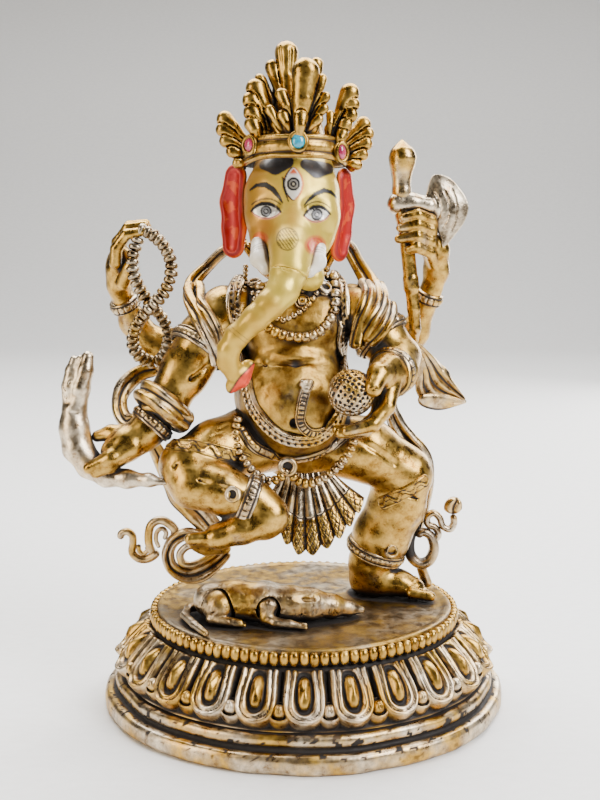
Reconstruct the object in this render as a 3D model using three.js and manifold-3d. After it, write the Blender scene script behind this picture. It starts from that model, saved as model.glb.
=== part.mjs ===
// A dancing elephant-headed deity on an oval lotus pedestal: a cast copper-alloy figurine, silvered and
// part gilded. The figure is cast in pieces that are pegged and soldered together, then fixed to the
// hollow pedestal by a tenon under the standing foot. Millimetres, +Z up, -Y is the front.
// The origin is the middle of the pedestal's underside. "Right" and "left" are the deity's own.
import * as THREE from "three";
import { ConvexGeometry } from "three/addons/geometries/ConvexGeometry.js";
import { mergeVertices } from "three/addons/utils/BufferGeometryUtils.js";
import Module from "manifold-3d";

const wasm = await Module();
wasm.setup();

// ---- driving sizes, mm ----
const base_half_width = 62;
const base_half_depth = 54.5;
const base_height = 30;
const figure_height = 168; // from the pedestal's top to the crown's tip
const casting_gap = 0.35; // clearance where two pieces meet
const pedestal_wall = 3;
const platform_thickness = 3;
const foot_moulding_height = 9.5;
const closing_plate_thickness = 1.6;
const closing_plate_inset = 4.5; // from the foot's edge to the closing plate's edge
const petal_count = 24;
const bead_rim_radius = 2.3;
const tenon_radius = 2;
const tenon_reach = 7; // how far the foot tenon passes below the pedestal's top
const tenon_depth = 10; // how far it runs up into the ankle
const washer_radius = 4.5;
const washer_thickness = 1.6;
const shoulder_dowel_radius = 1.6;
const shoulder_dowel_length = 10;
const neck_dowel_radius = 2.2;
const neck_dowel_length = 14;
const crown_wall = 2.6;
const crown_band_height = 6;
const stone_radius = 2.2;
const side_stone_radius = 1.7;
const pearl_radius = 1.4;
const belt_radius = 1.4;
const garland_radius = 1.9;
const scarf_radius = 2;
const rosary_radius = 1.6;
const anklet_radius = 1.5;
const axe_socket_wall = 1.2;

// The figure was modelled 168 mm tall: its anatomy scales with figure_height, its fittings do not.
const figure_scale = figure_height / 168;

// ---- solids ----

// A closed three.js geometry as a manifold solid.
function solid(geometry) {
  const plain = new THREE.BufferGeometry();
  const source = geometry.index ? geometry.toNonIndexed() : geometry;
  plain.setAttribute("position", source.getAttribute("position").clone());
  const merged = mergeVertices(plain, 1e-4);
  return new wasm.Manifold(
    new wasm.Mesh({
      numProp: 3,
      vertProperties: new Float32Array(merged.attributes.position.array),
      triVerts: new Uint32Array(merged.index.array),
    }),
  );
}

function joined(solids) {
  return solids.reduce((sum, next) => sum.add(next));
}

// The ball that a skin is stretched over, by how finely it is faceted: 0, 1, 2 or 3. Its flats sit inside
// its radius, so a swelling is enlarged to keep the full clearance at the flats.
const ball_kinds = [
  { make: (radius) => new THREE.OctahedronGeometry(radius), swell: 1.73 },
  { make: (radius) => new THREE.IcosahedronGeometry(radius, 0), swell: 1.26 },
  { make: (radius) => new THREE.IcosahedronGeometry(radius, 1), swell: 1.1 },
  { make: (radius) => new THREE.IcosahedronGeometry(radius, 2), swell: 1.05 },
];

// The convex skin over a few balls, each given as [x, y, z, radius]. grow swells every ball.
function skin(balls, grow = 0, fineness = 1) {
  const points = [];
  const kind = ball_kinds[fineness];
  for (const [x, y, z, radius] of balls) {
    const corner = kind.make(radius + grow * kind.swell).getAttribute("position");
    for (let i = 0; i < corner.count; i += 1) {
      points.push(new THREE.Vector3().fromBufferAttribute(corner, i).add(new THREE.Vector3(x, y, z)));
    }
  }
  return solid(new ConvexGeometry(points));
}

// A limb: each ball joined to the next by a skin.
function limb(balls, grow = 0, fineness = 1) {
  return joined(balls.slice(1).map((ball, i) => skin([balls[i], ball], grow, fineness)));
}

// A string or band, with the plainest balls.
const strand = (balls, grow) => limb(balls.map(([x, y, z, radius]) => [x, y, z, radius * 1.2]), grow, 0);

// Balls widened so that their coarse skin holds the limb's full girth.
const swelled = (balls) => balls.map(([x, y, z, radius]) => [x, y, z, radius * 1.08]);

// A cloth band: [edge, edge] stations, each skinned to the next. Both edges are as thick as the scarf.
function ribbon(stations, grow) {
  const rows = stations.map((pair) => bar(placed(pair), scarf_radius));
  return joined(rows.slice(1).map((row, i) => skin([...rows[i], ...row], grow)));
}

// A bar of one thickness through a list of [x, y, z] points.
const bar = (points, radius) => points.map(([x, y, z]) => [x, y, z, radius]);

// An upright body of revolution from [radius, z] points, made oval by the share `depth` in y.
function turned(profile, depth = 1, segments = 36) {
  const outline = profile.map(([radius, z]) => new THREE.Vector2(radius, z));
  const geometry = new THREE.LatheGeometry(outline, segments);
  geometry.rotateX(Math.PI / 2);
  geometry.scale(1, depth, 1);
  return geometry;
}

// A ring's profile, closed on itself, walked so that its faces point out.
const ringProfile = (points) => [...points, points[0]];

// A torus-like hoop of balls round a tilted circle: centre, radius, thickness, and two unit directions.
function hoop(centre, across, along, wide, deep, radius, count = 9) {
  const stations = [];
  for (let i = 0; i <= count; i += 1) {
    const turn = (2 * Math.PI * i) / count;
    const point = new THREE.Vector3(...centre)
      .addScaledVector(across, wide * Math.cos(turn))
      .addScaledVector(along, deep * Math.sin(turn));
    stations.push([point.x, point.y, point.z, radius]);
  }
  return stations;
}

// A hoop square to a limb that runs from one point to another.
function hoopOnLimb(from, to, share, limbRadius, radius, count) {
  const start = new THREE.Vector3(...from);
  const axis = new THREE.Vector3(...to).sub(start);
  const centre = start.clone().addScaledVector(axis, share);
  axis.normalize();
  const side = Math.abs(axis.z) > 0.9 ? new THREE.Vector3(1, 0, 0) : new THREE.Vector3(0, 0, 1);
  const across = new THREE.Vector3().crossVectors(axis, side).normalize();
  const along = new THREE.Vector3().crossVectors(axis, across).normalize();
  return hoop(centre.toArray(), across, along, limbRadius, limbRadius, radius, count);
}

// ---- the figure's anatomy: balls [x, y, z, radius] above the pedestal's top ----
const torso_lines = [
  [[-2, 3, 50, 12.5], [-3.5, -2, 64, 16.5]],
  [[-3.5, -2, 64, 16.5], [-3.2, -5.5, 61, 15.5]],
  [[-3.5, -2, 64, 16.5], [-3, 0, 76, 14]],
  [[-3, 0, 76, 14], [-9.5, 1, 86, 10.5], [4, 1, 86, 10.5]],
  [[-9.5, 1, 86, 10.5], [-18, 3, 90.5, 6.5]],
  [[4, 1, 86, 10.5], [14, 3, 90, 6.5]],
  [[-9.5, 1, 86, 10.5], [4, 1, 86, 10.5], [-2, 0, 97, 6.5]],
];
const raised_leg_line = [
  [-8, 0, 51, 10], [-23, -11, 50, 8.5], [-34, -20, 47.5, 6.6], [-35, -22, 45, 6.2],
  [-23, -24, 42, 6.8], [-12.5, -24, 37.5, 5.2], [-9.5, -25.5, 33.5, 4.2], [-17, -28, 30, 4.1],
  [-25, -28.5, 28, 3.4], [-28.5, -28.5, 26.5, 2.2],
];
const standing_leg_line = [
  [4, 1, 50, 10], [18, 1, 47, 9], [31, 3, 39.5, 7.8], [30, 4, 34, 7.8], [25, 5, 24, 8.2],
  [21, 6.5, 12.5, 7.4], [21, 7, 5, 5.8], [30, 5, 3.6, 4], [37, 2.5, 2.8, 2.8],
];
const right_rear_arm_line = [
  [-16, 7, 90, 6], [-24, 9, 87, 5.8], [-34, 12, 78, 5.2], [-45, 14, 75.5, 4.6],
  [-51, 12, 82.5, 3.8], [-54.5, 8, 92, 2.9], [-55, 7, 97, 3.4], [-54.5, 6, 103, 3.6],
  [-52.5, 4, 109.5, 3], [-48.5, 2, 114, 2], [-45.5, 0, 114.5, 1.5],
];
const right_front_arm_line = [
  [-17, 1, 90, 6.6], [-23, -2, 89, 7], [-29, -6, 81.5, 7.2], [-34.5, -9, 72.5, 6.6],
  [-40, -12, 63, 5.6], [-44.5, -14, 56.5, 4.6], [-49.5, -16, 52.5, 4.2], [-55, -18, 50, 3.2],
  [-61, -20, 48, 2],
];
const left_rear_arm_line = [
  [12, 7, 90, 6], [19, 9, 87, 5.6], [26, 12, 81, 5.2], [31, 14, 76, 4.6], [35, 11, 84, 3.6],
  [37.5, 8, 92.5, 2.7], [38, 7, 97, 3.2], [38.5, 6, 103.5, 3.4], [36.5, 3, 110, 3.2],
  [32, -2.5, 112, 1.8], [28, -3.5, 109, 1.5],
];
const left_front_arm_line = [
  [13, 0, 89.5, 6.6], [16, -2, 89, 6.8], [21.5, -5, 83, 6.6], [28, -8, 75, 6.2],
  [26, -14, 71.5, 5.6], [20.5, -20, 73, 4.8],
];
const left_fingers_line = [
  [20.5, -20, 73, 4.8], [17, -27, 72, 2.6], [21.5, -29.5, 66, 1.7], [19, -29, 60, 1.5],
  [13, -27, 57, 1.6],
];
const skull_lines = [
  [[-2, 0, 106, 7.2], [-2.5, 4, 120, 12.5]],
  [[-2.5, 4, 120, 12.5], [-2.5, -2, 120, 13.5]],
  [[-2.5, -2, 120, 13.5], [-2.5, 1, 127, 12.2]],
  [[-2.5, -2, 120, 13.5], [-8.5, -7.5, 123, 8], [3.5, -7.5, 122.5, 8]],
  [[-8.5, -7.5, 123, 8], [-9.5, -10.5, 112, 6.2], [-3.5, -15, 112, 6.5]],
  [[3.5, -7.5, 122.5, 8], [4.5, -10.5, 111.5, 6.2], [-3.5, -15, 112, 6.5]],
  [[-2, 0, 106, 7.2], [0.5, -9, 100.5, 4.6]],
];
const trunk_line = [
  [-3.5, -19, 110.5, 6], [-3.5, -24.5, 104.5, 4.7], [-5.5, -28, 97.5, 4.2], [-12.5, -31, 91, 3.9],
  [-19, -31.5, 84.5, 3.8], [-21.2, -30.5, 79, 3.3], [-19.5, -29.5, 74.5, 2.6], [-17, -28.5, 72.3, 2.1],
];
const right_ear_outline = [
  [-17, -1, 126, 1.4], [-22.5, 2, 124.5, 1.4], [-24.2, 5, 116, 1.4], [-22.7, 5, 108.5, 1.4],
  [-19.5, 3, 104.5, 1.4], [-16, -2, 110, 1.4],
];
const left_ear_outline = [
  [11.5, -1, 125.5, 1.4], [14.4, 3, 124, 1.4], [14.6, 6, 116, 1.4], [13, 6, 107.5, 1.4],
  [10, 3, 103.5, 1.4], [8.5, -2, 110, 1.4],
];

const scaled = (balls) =>
  balls.map((ball) => ball.map((value) => value * figure_scale));
const placed = (points) => points.map((point) => point.map((value) => value * figure_scale));

// How far forward the torso reaches at x, z: the least y of its skins, sampled along each line.
function torsoFront(x, z) {
  let front = Infinity;
  for (const line of torso_lines) {
    const balls = scaled(line);
    for (let i = 1; i < balls.length; i += 1) {
      for (let share = 0; share <= 1; share += 0.125) {
        const here = balls[i].map((value, axis) => THREE.MathUtils.lerp(balls[0][axis], value, share));
        const [bx, by, bz, radius] = here;
        const reach = radius ** 2 - (x - bx) ** 2 - (z - bz) ** 2;
        if (reach > 0) front = Math.min(front, by - Math.sqrt(reach));
      }
    }
  }
  return Number.isFinite(front) ? front : -4 * figure_scale;
}

// An ornament laid on the torso: [x, z] stations, standing proud of the metal by a share of its own radius.
function laidOnTorso(stations, radius, proud = 0) {
  return placed(stations).map(([x, z]) => [x, torsoFront(x, z) - proud, z, radius]);
}

// ---- ornaments ----
const garland_stations = [
  [-13.5, 98], [-18, 92.5], [-18.5, 85], [-17.5, 76], [-17.5, 66.5], [-13, 57.5], [-4, 52],
  [5, 54], [10.5, 64], [11, 76], [11.5, 88], [8.5, 97],
];
const necklace_stations = [[-9.5, 96], [-9, 88], [-4, 84], [1.5, 84], [6, 88], [5.5, 96]];
const belt_stations = [[-16, 55], [-10, 48.5], [-4.5, 46], [3, 47.5], [10.5, 53.5]];
const snake_stations = [[-1.5, 70.5], [-2, 64], [-1.5, 58], [2.5, 56], [8, 57]];
const festoon_points = [
  [-17.5, -18, 56.5], [-16.5, -22, 49], [-10.5, -21, 43.5], [-5, -19.5, 44], [0.5, -18, 42],
  [8, -15, 43.5], [14, -11.5, 49],
];

// The beaded festoon hangs clear of the apron and the raised thigh by its own thickness.
function festoon(grow) {
  return strand(bar(placed(festoon_points), belt_radius), grow);
}

// ---- the pleated apron: a fan of wedge pleats from under the clasp ----
const apron_top = [-4, -13.5, 43];
const apron_hem = [
  [-10, -17, 36], [-7.5, -18, 29.5], [-4, -19, 25.5], [0, -19, 22], [4.5, -18.5, 22],
  [9, -17.5, 24.5], [13.5, -15, 28.5], [18, -12.5, 33.5],
];

function apron(grow) {
  const [top] = placed([apron_top]);
  const hem = placed(apron_hem);
  const pleat = (low, next, radius) =>
    skin(
      [[...top, 1.4], [top[0] + 8, top[1] + 2, top[2] + 3, 1.4], [...low, radius], [...next, radius]],
      grow,
    );
  return joined(hem.slice(1).map((low, i) => pleat(hem[i], low, i % 2 ? 0.9 : 1.3)));
}

// ---- crown ----
const crown_centre = [-2.5, 0, 130];
const crown_half_width = 15;
const crown_half_depth = 15.5;
// The leaves' balls, with heights above the band's top edge.
const crown_leaves = {
  front: [
    [-4, -14, 2.6, 1.6], [3.5, -14, 2.6, 1.6], [-7.5, -12.5, 11, 1.7], [7, -12.5, 11, 1.7],
    [-1.5, -14, 22, 2], [2.5, -14, 22.5, 2],
  ],
  right: [
    [-16, -8.5, 3, 1.6], [-10, -12, 3, 1.6], [-18.2, -5.5, 10, 1.7], [-8.5, -11, 11, 1.6],
    [-14.5, -6.5, 17.5, 1.8], [-11, -8, 17, 1.7],
  ],
  left: [
    [10, -9.5, 2, 1.6], [7, -11.5, 3, 1.6], [16, -5.5, 10, 1.7], [8.5, -10, 11, 1.6],
    [13.5, -6, 15.8, 1.8], [10.5, -8, 15, 1.6],
  ],
  rear_right: [
    [-17.5, 2, 2.6, 1.5], [-17.5, -5, 2.6, 1.5],
    [-22, 3.5, 6, 1.6], [-21, -5, 5.5, 1.6], [-22, -1, 8.8, 1.6],
  ],
  rear_left: [
    [12.5, 2, 2.6, 1.5], [12.5, -5, 2.6, 1.5],
    [17.5, 3.5, 6, 1.6], [16.5, -5, 5.5, 1.6], [17.5, -1, 8.8, 1.6],
  ],
};

function crownPoint(turn, out, up) {
  const angle = THREE.MathUtils.degToRad(turn);
  const [x, y, z] = crown_centre;
  return [
    (x + (crown_half_width + out) * Math.sin(angle)) * figure_scale,
    (y - (crown_half_depth + out) * Math.cos(angle)) * figure_scale,
    (z + up) * figure_scale,
  ];
}

function crownBand(grow) {
  const wide = crown_half_width * figure_scale;
  const outer = wide + grow;
  const inner = wide - crown_wall - grow;
  const low = -grow;
  const high = crown_band_height + grow;
  const band = turned(
    ringProfile([[inner, low], [outer, low], [outer, high], [inner, high]]),
    crown_half_depth / crown_half_width,
    24,
  );
  band.translate(...placed([crown_centre])[0]);
  return solid(band);
}

function crownLeaf(balls, grow) {
  const band_top = crown_centre[2] * figure_scale + crown_band_height;
  return skin(scaled(balls).map(([x, y, z, radius]) => [x, y, z + band_top, radius]), grow);
}

// ---- pegs ----
function peg(centre, direction, radius, length, grow, segments = 12) {
  const geometry = new THREE.CylinderGeometry(radius + grow, radius + grow, length + 2 * grow, segments);
  const upright = new THREE.Vector3(0, 1, 0);
  const toward = new THREE.Vector3(...direction).normalize();
  geometry.applyQuaternion(new THREE.Quaternion().setFromUnitVectors(upright, toward));
  geometry.translate(...centre);
  return solid(geometry);
}

const shoulder_joints = {
  right_front_dowel: [[-11, 0.5, 89.5], [-1, 0, 0.05]],
  right_rear_dowel: [[-10.5, 8.5, 88.5], [-1, 0.25, -0.1]],
  left_front_dowel: [[6.5, 0, 89], [1, 0, 0.05]],
  left_rear_dowel: [[6.5, 8.5, 88.5], [1, 0.25, -0.1]],
};

// ---- the pedestal, in its own height ----
const oval = base_half_depth / base_half_width;
const lotus_low = foot_moulding_height + casting_gap;
const platform_low = base_height - 6.2;
const lotus_low_radius = base_half_width - 6;
const platform_radius = base_half_width - 18;

function footMoulding() {
  const seat = base_half_width - closing_plate_inset + casting_gap;
  const inner = seat - pedestal_wall;
  const rebate = closing_plate_thickness + casting_gap;
  const edge = base_half_width;
  return solid(turned(ringProfile([
    [seat, 0], [edge - 0.6, 0], [edge, 0.8], [edge, 4.2], [edge - 0.9, 5], [edge - 2.8, 5.6],
    [edge - 2.2, 6.4], [edge - 2.6, 8.6], [edge - 3.6, foot_moulding_height],
    [inner, foot_moulding_height], [inner, rebate], [seat, rebate],
  ]), oval));
}

function closingPlate() {
  const radius = base_half_width - closing_plate_inset;
  const high = closing_plate_thickness;
  return solid(turned([[0, 0], [radius, 0], [radius, high], [0, high]], oval));
}

// Evenly spaced stations round the oval: the angle whose arc from the front is each share of the whole.
function ovalTurns(count) {
  const steps = 720;
  const arc = [0];
  const at = (i) => [Math.sin((2 * Math.PI * i) / steps), -oval * Math.cos((2 * Math.PI * i) / steps)];
  for (let i = 1; i <= steps; i += 1) {
    const [x0, y0] = at(i - 1);
    const [x1, y1] = at(i);
    arc.push(arc[i - 1] + Math.hypot(x1 - x0, y1 - y0));
  }
  return Array.from({ length: count }, (_, n) => {
    const wanted = (arc[steps] * n) / count;
    return (2 * Math.PI * arc.findIndex((length) => length >= wanted)) / steps;
  });
}

// One lotus petal: a blunt lobe down the slope, broadest below its middle.
function petal(turn) {
  const outward = new THREE.Vector2(Math.sin(turn) * oval, -Math.cos(turn)).normalize();
  const ball = (radius, z, aside, size) => [
    radius * Math.sin(turn) - outward.y * aside,
    -radius * oval * Math.cos(turn) + outward.x * aside,
    z,
    size,
  ];
  const slope = platform_low - lotus_low;
  const half = (Math.PI * base_half_width * (1 + oval)) / 2 / petal_count / 2;
  return skin([
    ball(platform_radius + 1.2, lotus_low + slope * 0.86, 0, 1.8),
    ball(lotus_low_radius - 4.6, lotus_low + slope * 0.45, half, 1.9),
    ball(lotus_low_radius - 4.6, lotus_low + slope * 0.45, -half, 1.9),
    ball(lotus_low_radius - 1.4, lotus_low + slope * 0.18, 0, 2.2),
  ], 0, 0);
}

function lotusPedestal() {
  const neck = platform_radius - 0.5;
  const low = lotus_low_radius;
  const high = platform_low - casting_gap;
  const shell = solid(turned(ringProfile([
    [low - pedestal_wall, lotus_low], [low, lotus_low], [low - 1.5, lotus_low + 2.4], [neck, high],
    [neck - pedestal_wall, high],
  ]), oval));
  return joined([shell, ...ovalTurns(petal_count).map(petal)]);
}

function beadRim(grow) {
  const centre = platform_radius + 1.4;
  const radius = bead_rim_radius + grow;
  const outline = Array.from({ length: 6 }, (_, i) => {
    const turn = (2 * Math.PI * (i + 0.5)) / 6;
    return [centre + radius * Math.cos(turn), base_height - bead_rim_radius + radius * Math.sin(turn)];
  });
  return solid(turned(ringProfile(outline), oval));
}

function platform() {
  const inner = platform_radius - 0.5 - pedestal_wall;
  const underside = base_height - platform_thickness;
  return solid(turned([
    [0, underside], [inner, underside], [inner, platform_low], [platform_radius - 0.5, platform_low],
    [platform_radius, platform_low + 1.6], [platform_radius, base_height], [0, base_height],
  ], oval));
}

// A hoop round the limb that runs between two places, part of the way along it.
const hoopOn = (from, to, share, radius, thickness, grow) =>
  strand(
    hoopOnLimb(placed([from])[0], placed([to])[0], share, radius * figure_scale, thickness), grow,
  );

// ---- the figure's pieces ----
// Each is a function of how much it is swollen, so that its neighbour can clear it.
const standing_foot = standing_leg_line[6];
const tenonCentre = (z) => [standing_foot[0] * figure_scale, standing_foot[1] * figure_scale, z];

const figure_pieces = {
  foot_tenon: (grow) =>
    peg(
      tenonCentre((tenon_depth - tenon_reach) / 2), [0, 0, 1],
      tenon_radius, tenon_depth + tenon_reach, grow,
    ),
  tenon_washer: (grow) =>
    peg(
      tenonCentre(-platform_thickness - casting_gap - washer_thickness / 2), [0, 0, 1],
      washer_radius, washer_thickness, grow, 16,
    ),
  neck_dowel: (grow) =>
    peg(placed([[-2, 0, 99]])[0], [0, 0, 1], neck_dowel_radius, neck_dowel_length, grow),
  ...Object.fromEntries(Object.entries(shoulder_joints).map(([name, [centre, direction]]) => [
    name,
    (grow) => peg(placed([centre])[0], direction, shoulder_dowel_radius, shoulder_dowel_length, grow, 8),
  ])),
  crown_turquoise: (grow) => skin([[...crownPoint(4, 1.2, 5.5), stone_radius]], grow, 2),
  crown_ruby_right: (grow) => skin([[...crownPoint(-52, 0.8, 5.2), side_stone_radius]], grow, 2),
  crown_ruby_left: (grow) => skin([[...crownPoint(56, 0.8, 4.2), side_stone_radius]], grow, 2),
  belt_clasp: (grow) => skin([[...placed([[-4.7, -21, 47]])[0], 2.6]], grow, 2),
  pearl_necklace: (grow) => strand(laidOnTorso(necklace_stations, pearl_radius), grow),
  snake_girdle: (grow) => strand(laidOnTorso(snake_stations, 1.8 * figure_scale, 2.2), grow),
  waist_belt: (grow) => strand(laidOnTorso(belt_stations, belt_radius), grow),
  bead_festoon: festoon,
  right_armlet: (grow) =>
    hoopOn([-23, -2, 89], [-34.5, -9, 72.5], 0.62, 7, 1.5, grow),
  left_armlet: (grow) =>
    hoopOn([16, -2, 89], [28, -8, 75], 0.45, 6.6, 1.4, grow),
  right_wristlet: (grow) =>
    hoopOn([-40, -12, 63], [-49.5, -16, 52.5], 0.42, 5, 1.3, grow),
  left_wristlet: (grow) =>
    hoopOn([28, -8, 75], [20.5, -20, 73], 0.55, 5.4, 1.2, grow),
  raised_anklet: (grow) =>
    hoopOn([-23, -24, 42], [-12.5, -24, 37.5], 0.8, 5.6, 1.3, grow),
  standing_anklet: (grow) =>
    hoopOn([25, 5, 24], [21, 6.5, 12.5], 0.95, 7.6, anklet_radius, grow),
  garland: (grow) => strand(laidOnTorso(garland_stations, garland_radius, 0.3), grow),
  right_tusk: (grow) => limb(scaled([[-12, -16, 108.5, 2.6], [-10.6, -26, 103, 2]]), grow, 2),
  left_tusk: (grow) => limb(scaled([[4.2, -16, 107.5, 2.6], [2.6, -26, 103, 2]]), grow, 2),
  trunk: (grow) => limb([
    ...scaled(trunk_line),
  ], grow, 2),
  right_ear: (grow) => skin(scaled(right_ear_outline), grow),
  left_ear: (grow) => skin(scaled(left_ear_outline), grow),
  crown_leaf_front: (grow) => crownLeaf(crown_leaves.front, grow),
  crown_leaf_right: (grow) => crownLeaf(crown_leaves.right, grow),
  crown_leaf_left: (grow) => crownLeaf(crown_leaves.left, grow),
  crown_leaf_rear_right: (grow) => crownLeaf(crown_leaves.rear_right, grow),
  crown_leaf_rear_left: (grow) => crownLeaf(crown_leaves.rear_left, grow),
  crown_band: crownBand,
  hair_knot: (grow) =>
    limb(
      scaled([[-2.5, 1, 139.5, 9], [-3.5, 2, 147, 7.6], [-4.5, 0, 157, 5], [-5, -1.5, 164.6, 3.2]]),
      grow, 2,
    ),
  axe_handle: (grow) => limb(scaled([
    [28, 0, 138.4, 0.7], [28.5, 0, 134.5, 3], [28.5, 0, 130, 2.1],
    [29.5, 0, 117.5, 2], [31.5, 0, 101.5, 1.9],
    [33, 0, 89.5, 1.8], [31.5, 2, 80, 1.6],
  ]), grow),
  axe_blade: (grow) => {
    const socket_line = placed([[28.5, 0, 122], [29.1, 0, 118.5]]);
    const socket = limb(bar(socket_line, 2 * figure_scale + axe_socket_wall), grow, 2);
    const neck = skin(scaled([[29, 0, 120, 2.6], [38, 0, 122, 1.8], [38, 0, 117.5, 1.8]]), grow);
    const edge = skin(scaled([
      [37, 0, 122, 1.5], [37, 0, 128.5, 0.8], [42.5, 0, 127.5, 0.7], [47.3, 0, 120, 0.6], [46, 0, 115, 0.6],
      [42, 0, 110.5, 0.6], [38, 0, 116, 1.4],
    ]), grow);
    return joined([socket, neck, edge]);
  },
  prayer_beads: (grow) => strand(bar(placed([
    [-47, -2, 112.5], [-41, -4, 109.5], [-38.5, -6, 102.5],
    [-40.5, -7, 95.5], [-44.5, -8, 91], [-49, -6, 85.5],
    [-50, -3.5, 79.5], [-46.5, -1, 75.5], [-41.5, 0, 77.5], [-40, 0, 83], [-42.5, -1, 88], [-46, -2, 93],
    [-49, -3, 99], [-49.5, -3, 105], [-47, -2, 112.5],
  ]), rosary_radius), grow),
  radish: (grow) => limb(scaled([
    [-40.5, -24, 43, 0.9], [-44, -22, 43, 1.7], [-51.5, -19.5, 42.5, 2.6], [-58.5, -18, 44, 3.4],
    [-64.5, -17, 49.5, 3.9], [-67, -15, 56, 4.2], [-67.4, -15, 61.5, 3.7], [-66.5, -15, 66, 2.8],
    [-62.5, -15, 72.5, 2.1], [-60.5, -14, 77.5, 1.5],
  ]), grow).add(limb(scaled([[-66.8, -15, 64, 2.4], [-68, -14, 70, 1.9], [-68, -13, 76, 1.2]]), grow)),
  sweet_ball: (grow) => skin(scaled([[13, -25, 68.5, 6.6]]), grow, 3),
  right_shoulder_scarf: (grow) => ribbon([
    [[-17.5, 9, 108], [-18.5, 9, 106.5]],
    [[-27, 8.5, 102], [-22, 7, 100.5]], [[-32, 5, 97], [-25.5, 3, 96.5]],
    [[-33.8, -2, 91.5], [-26.5, -5, 94]],
    [[-32, -9, 84.5], [-22.5, -9.5, 88]], [[-28, -13, 77], [-21, -12, 81]],
    [[-26, -11, 72.5], [-24, -11, 73.5]],
  ], grow),
  left_shoulder_scarf: (grow) => ribbon([
    [[11, 9, 110], [12, 9, 108.5]], [[19.5, 7, 103], [14.5, 7, 102]], [[24, 2, 97], [18, 1, 96.5]],
    [[25, -5, 91], [18, -6.5, 92]], [[21.5, -10.5, 84.5], [14.5, -10, 87.5]],
    [[17, -12.5, 80], [13.5, -12, 81.5]],
  ], grow),
  right_arm_scarf: (grow) => strand(bar([
    ...placed([
      [-49.5, -7, 57.5], [-44.5, -15.5, 63.5], [-37, -19, 66], [-30, -14, 63.5], [-29, -7, 59.5],
    ]),
  ], scarf_radius), grow).add(strand(bar(placed([
    [-49.5, -7, 57.5], [-55, 1, 61], [-56, 5, 66.5], [-52, 7, 70.5], [-46, 6, 71],
  ]), scarf_radius * 0.9), grow)),
  left_elbow_scarf: (grow) => limb(scaled([
    [31.5, -3, 81, 2], [37, 0, 76, 3], [42.5, 2, 69.5, 3], [48.5, 4, 62.5, 1.4],
  ]), grow).add(
    limb(scaled([[48.5, 4, 62.5, 1.4], [41, 2, 61.5, 2], [36, 0, 63.5, 2.4], [35.5, -1, 70, 2.4]]), grow),
  ),
  right_scarf_tail: (grow) => strand(bar(placed([
    [-50, -3, 57.5], [-46, 3, 49.5], [-44, 5, 40.5], [-40, 3, 31.5], [-34, 0, 24.5], [-28.5, 0, 18],
    [-27.5, 0, 11], [-31, 0, 5], [-37, 0, 4], [-42.5, 0, 8.5], [-44.5, 0, 15], [-46, 1, 20.5], [-49, 1, 22],
    [-51, 1.5, 18], [-51.5, 2, 12.5], [-54.5, 2, 14.5], [-56.5, 2, 19],
  ]), scarf_radius), grow),
  left_scarf_tail: (grow) => strand(bar(placed([
    [27, 8, 78], [28.5, 9, 70], [31, 10, 62], [34, 11, 53.5],
    [38.5, 11, 44.5], [42, 12, 36.5], [41, 13, 27.5], [37, 14, 19.5],
    [36, 14, 11.5], [38.5, 13, 7], [43, 12, 9.5], [43.5, 12, 15.5], [41, 11, 20], [44.5, 10, 23],
    [48, 9, 25.5], [47, 9, 30],
  ]), scarf_radius), grow),
  right_front_arm: (grow) => limb(swelled(scaled(right_front_arm_line)), grow),
  left_front_arm: (grow) =>
    limb(swelled(scaled(left_front_arm_line)), grow).add(limb(scaled(left_fingers_line), grow)),
  right_rear_arm: (grow) => limb(swelled(scaled(right_rear_arm_line)), grow),
  left_rear_arm: (grow) => limb(swelled(scaled(left_rear_arm_line)), grow),
  pleated_apron: apron,
  head: (grow) => joined(skull_lines.map((line) => skin(scaled(line), grow, 2))),
  raised_leg: (grow) => limb(swelled(scaled(raised_leg_line)), grow),
  standing_leg: (grow) => limb(swelled(scaled(standing_leg_line)), grow),
  torso: (grow) => joined(torso_lines.map((line) => skin(swelled(scaled(line)), grow))),
  mouse: (grow) => joined([
    limb(scaled([
      [-26, -13, 5.4, 5.4], [-17, -15, 6, 5.8],
      [-7, -16.5, 5.8, 5], [0.5, -15.5, 5.2, 4.2], [7, -14.5, 4, 3.1],
      [17, -12.5, 1.8, 1.2],
    ]), grow),
    limb(scaled([[-27, -16, 4, 3.4], [-25, -19, 1.8, 1.8], [-20, -20.5, 1.4, 1.4]]), grow),
    limb(scaled([[-8, -18.5, 4.5, 2.8], [-10, -21.5, 1.8, 1.7], [-2, -24, 1.4, 1.5]]), grow),
    limb(scaled([
      [-29, -10, 2, 1.8], [-35, -10.5, 1.6, 1.4], [-34.5, -17, 1.4, 1.3], [-30, -25, 1.3, 1.2],
      [-27, -31, 1.2, 1.1],
    ]), grow),
  ]),
};

// Everything of the figure below the pedestal's top, which only the tenon and its washer pass.
const below_top = new THREE.BoxGeometry(300, 300, 60);
below_top.translate(0, 0, casting_gap - 30);
const below_top_solid = solid(below_top);

// ---- materials ----
const finish = (color, roughness, metalness) =>
  new THREE.MeshStandardMaterial({ color, roughness, metalness });
const gilt = finish(0xc8922e, 0.34, 0.9);
const silvered = finish(0xb9a88c, 0.38, 0.9);
const dark_silver = finish(0x8f8068, 0.45, 0.85);
const painted_gold = finish(0xe0b64a, 0.4, 0.35);
const red_paint = finish(0xc8281e, 0.5, 0);
const ivory_paint = finish(0xece4d6, 0.4, 0);
const turquoise = finish(0x1aa3c4, 0.3, 0);
const ruby = finish(0xa8325c, 0.25, 0);
const copper = finish(0xa5673f, 0.5, 0.9);

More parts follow.
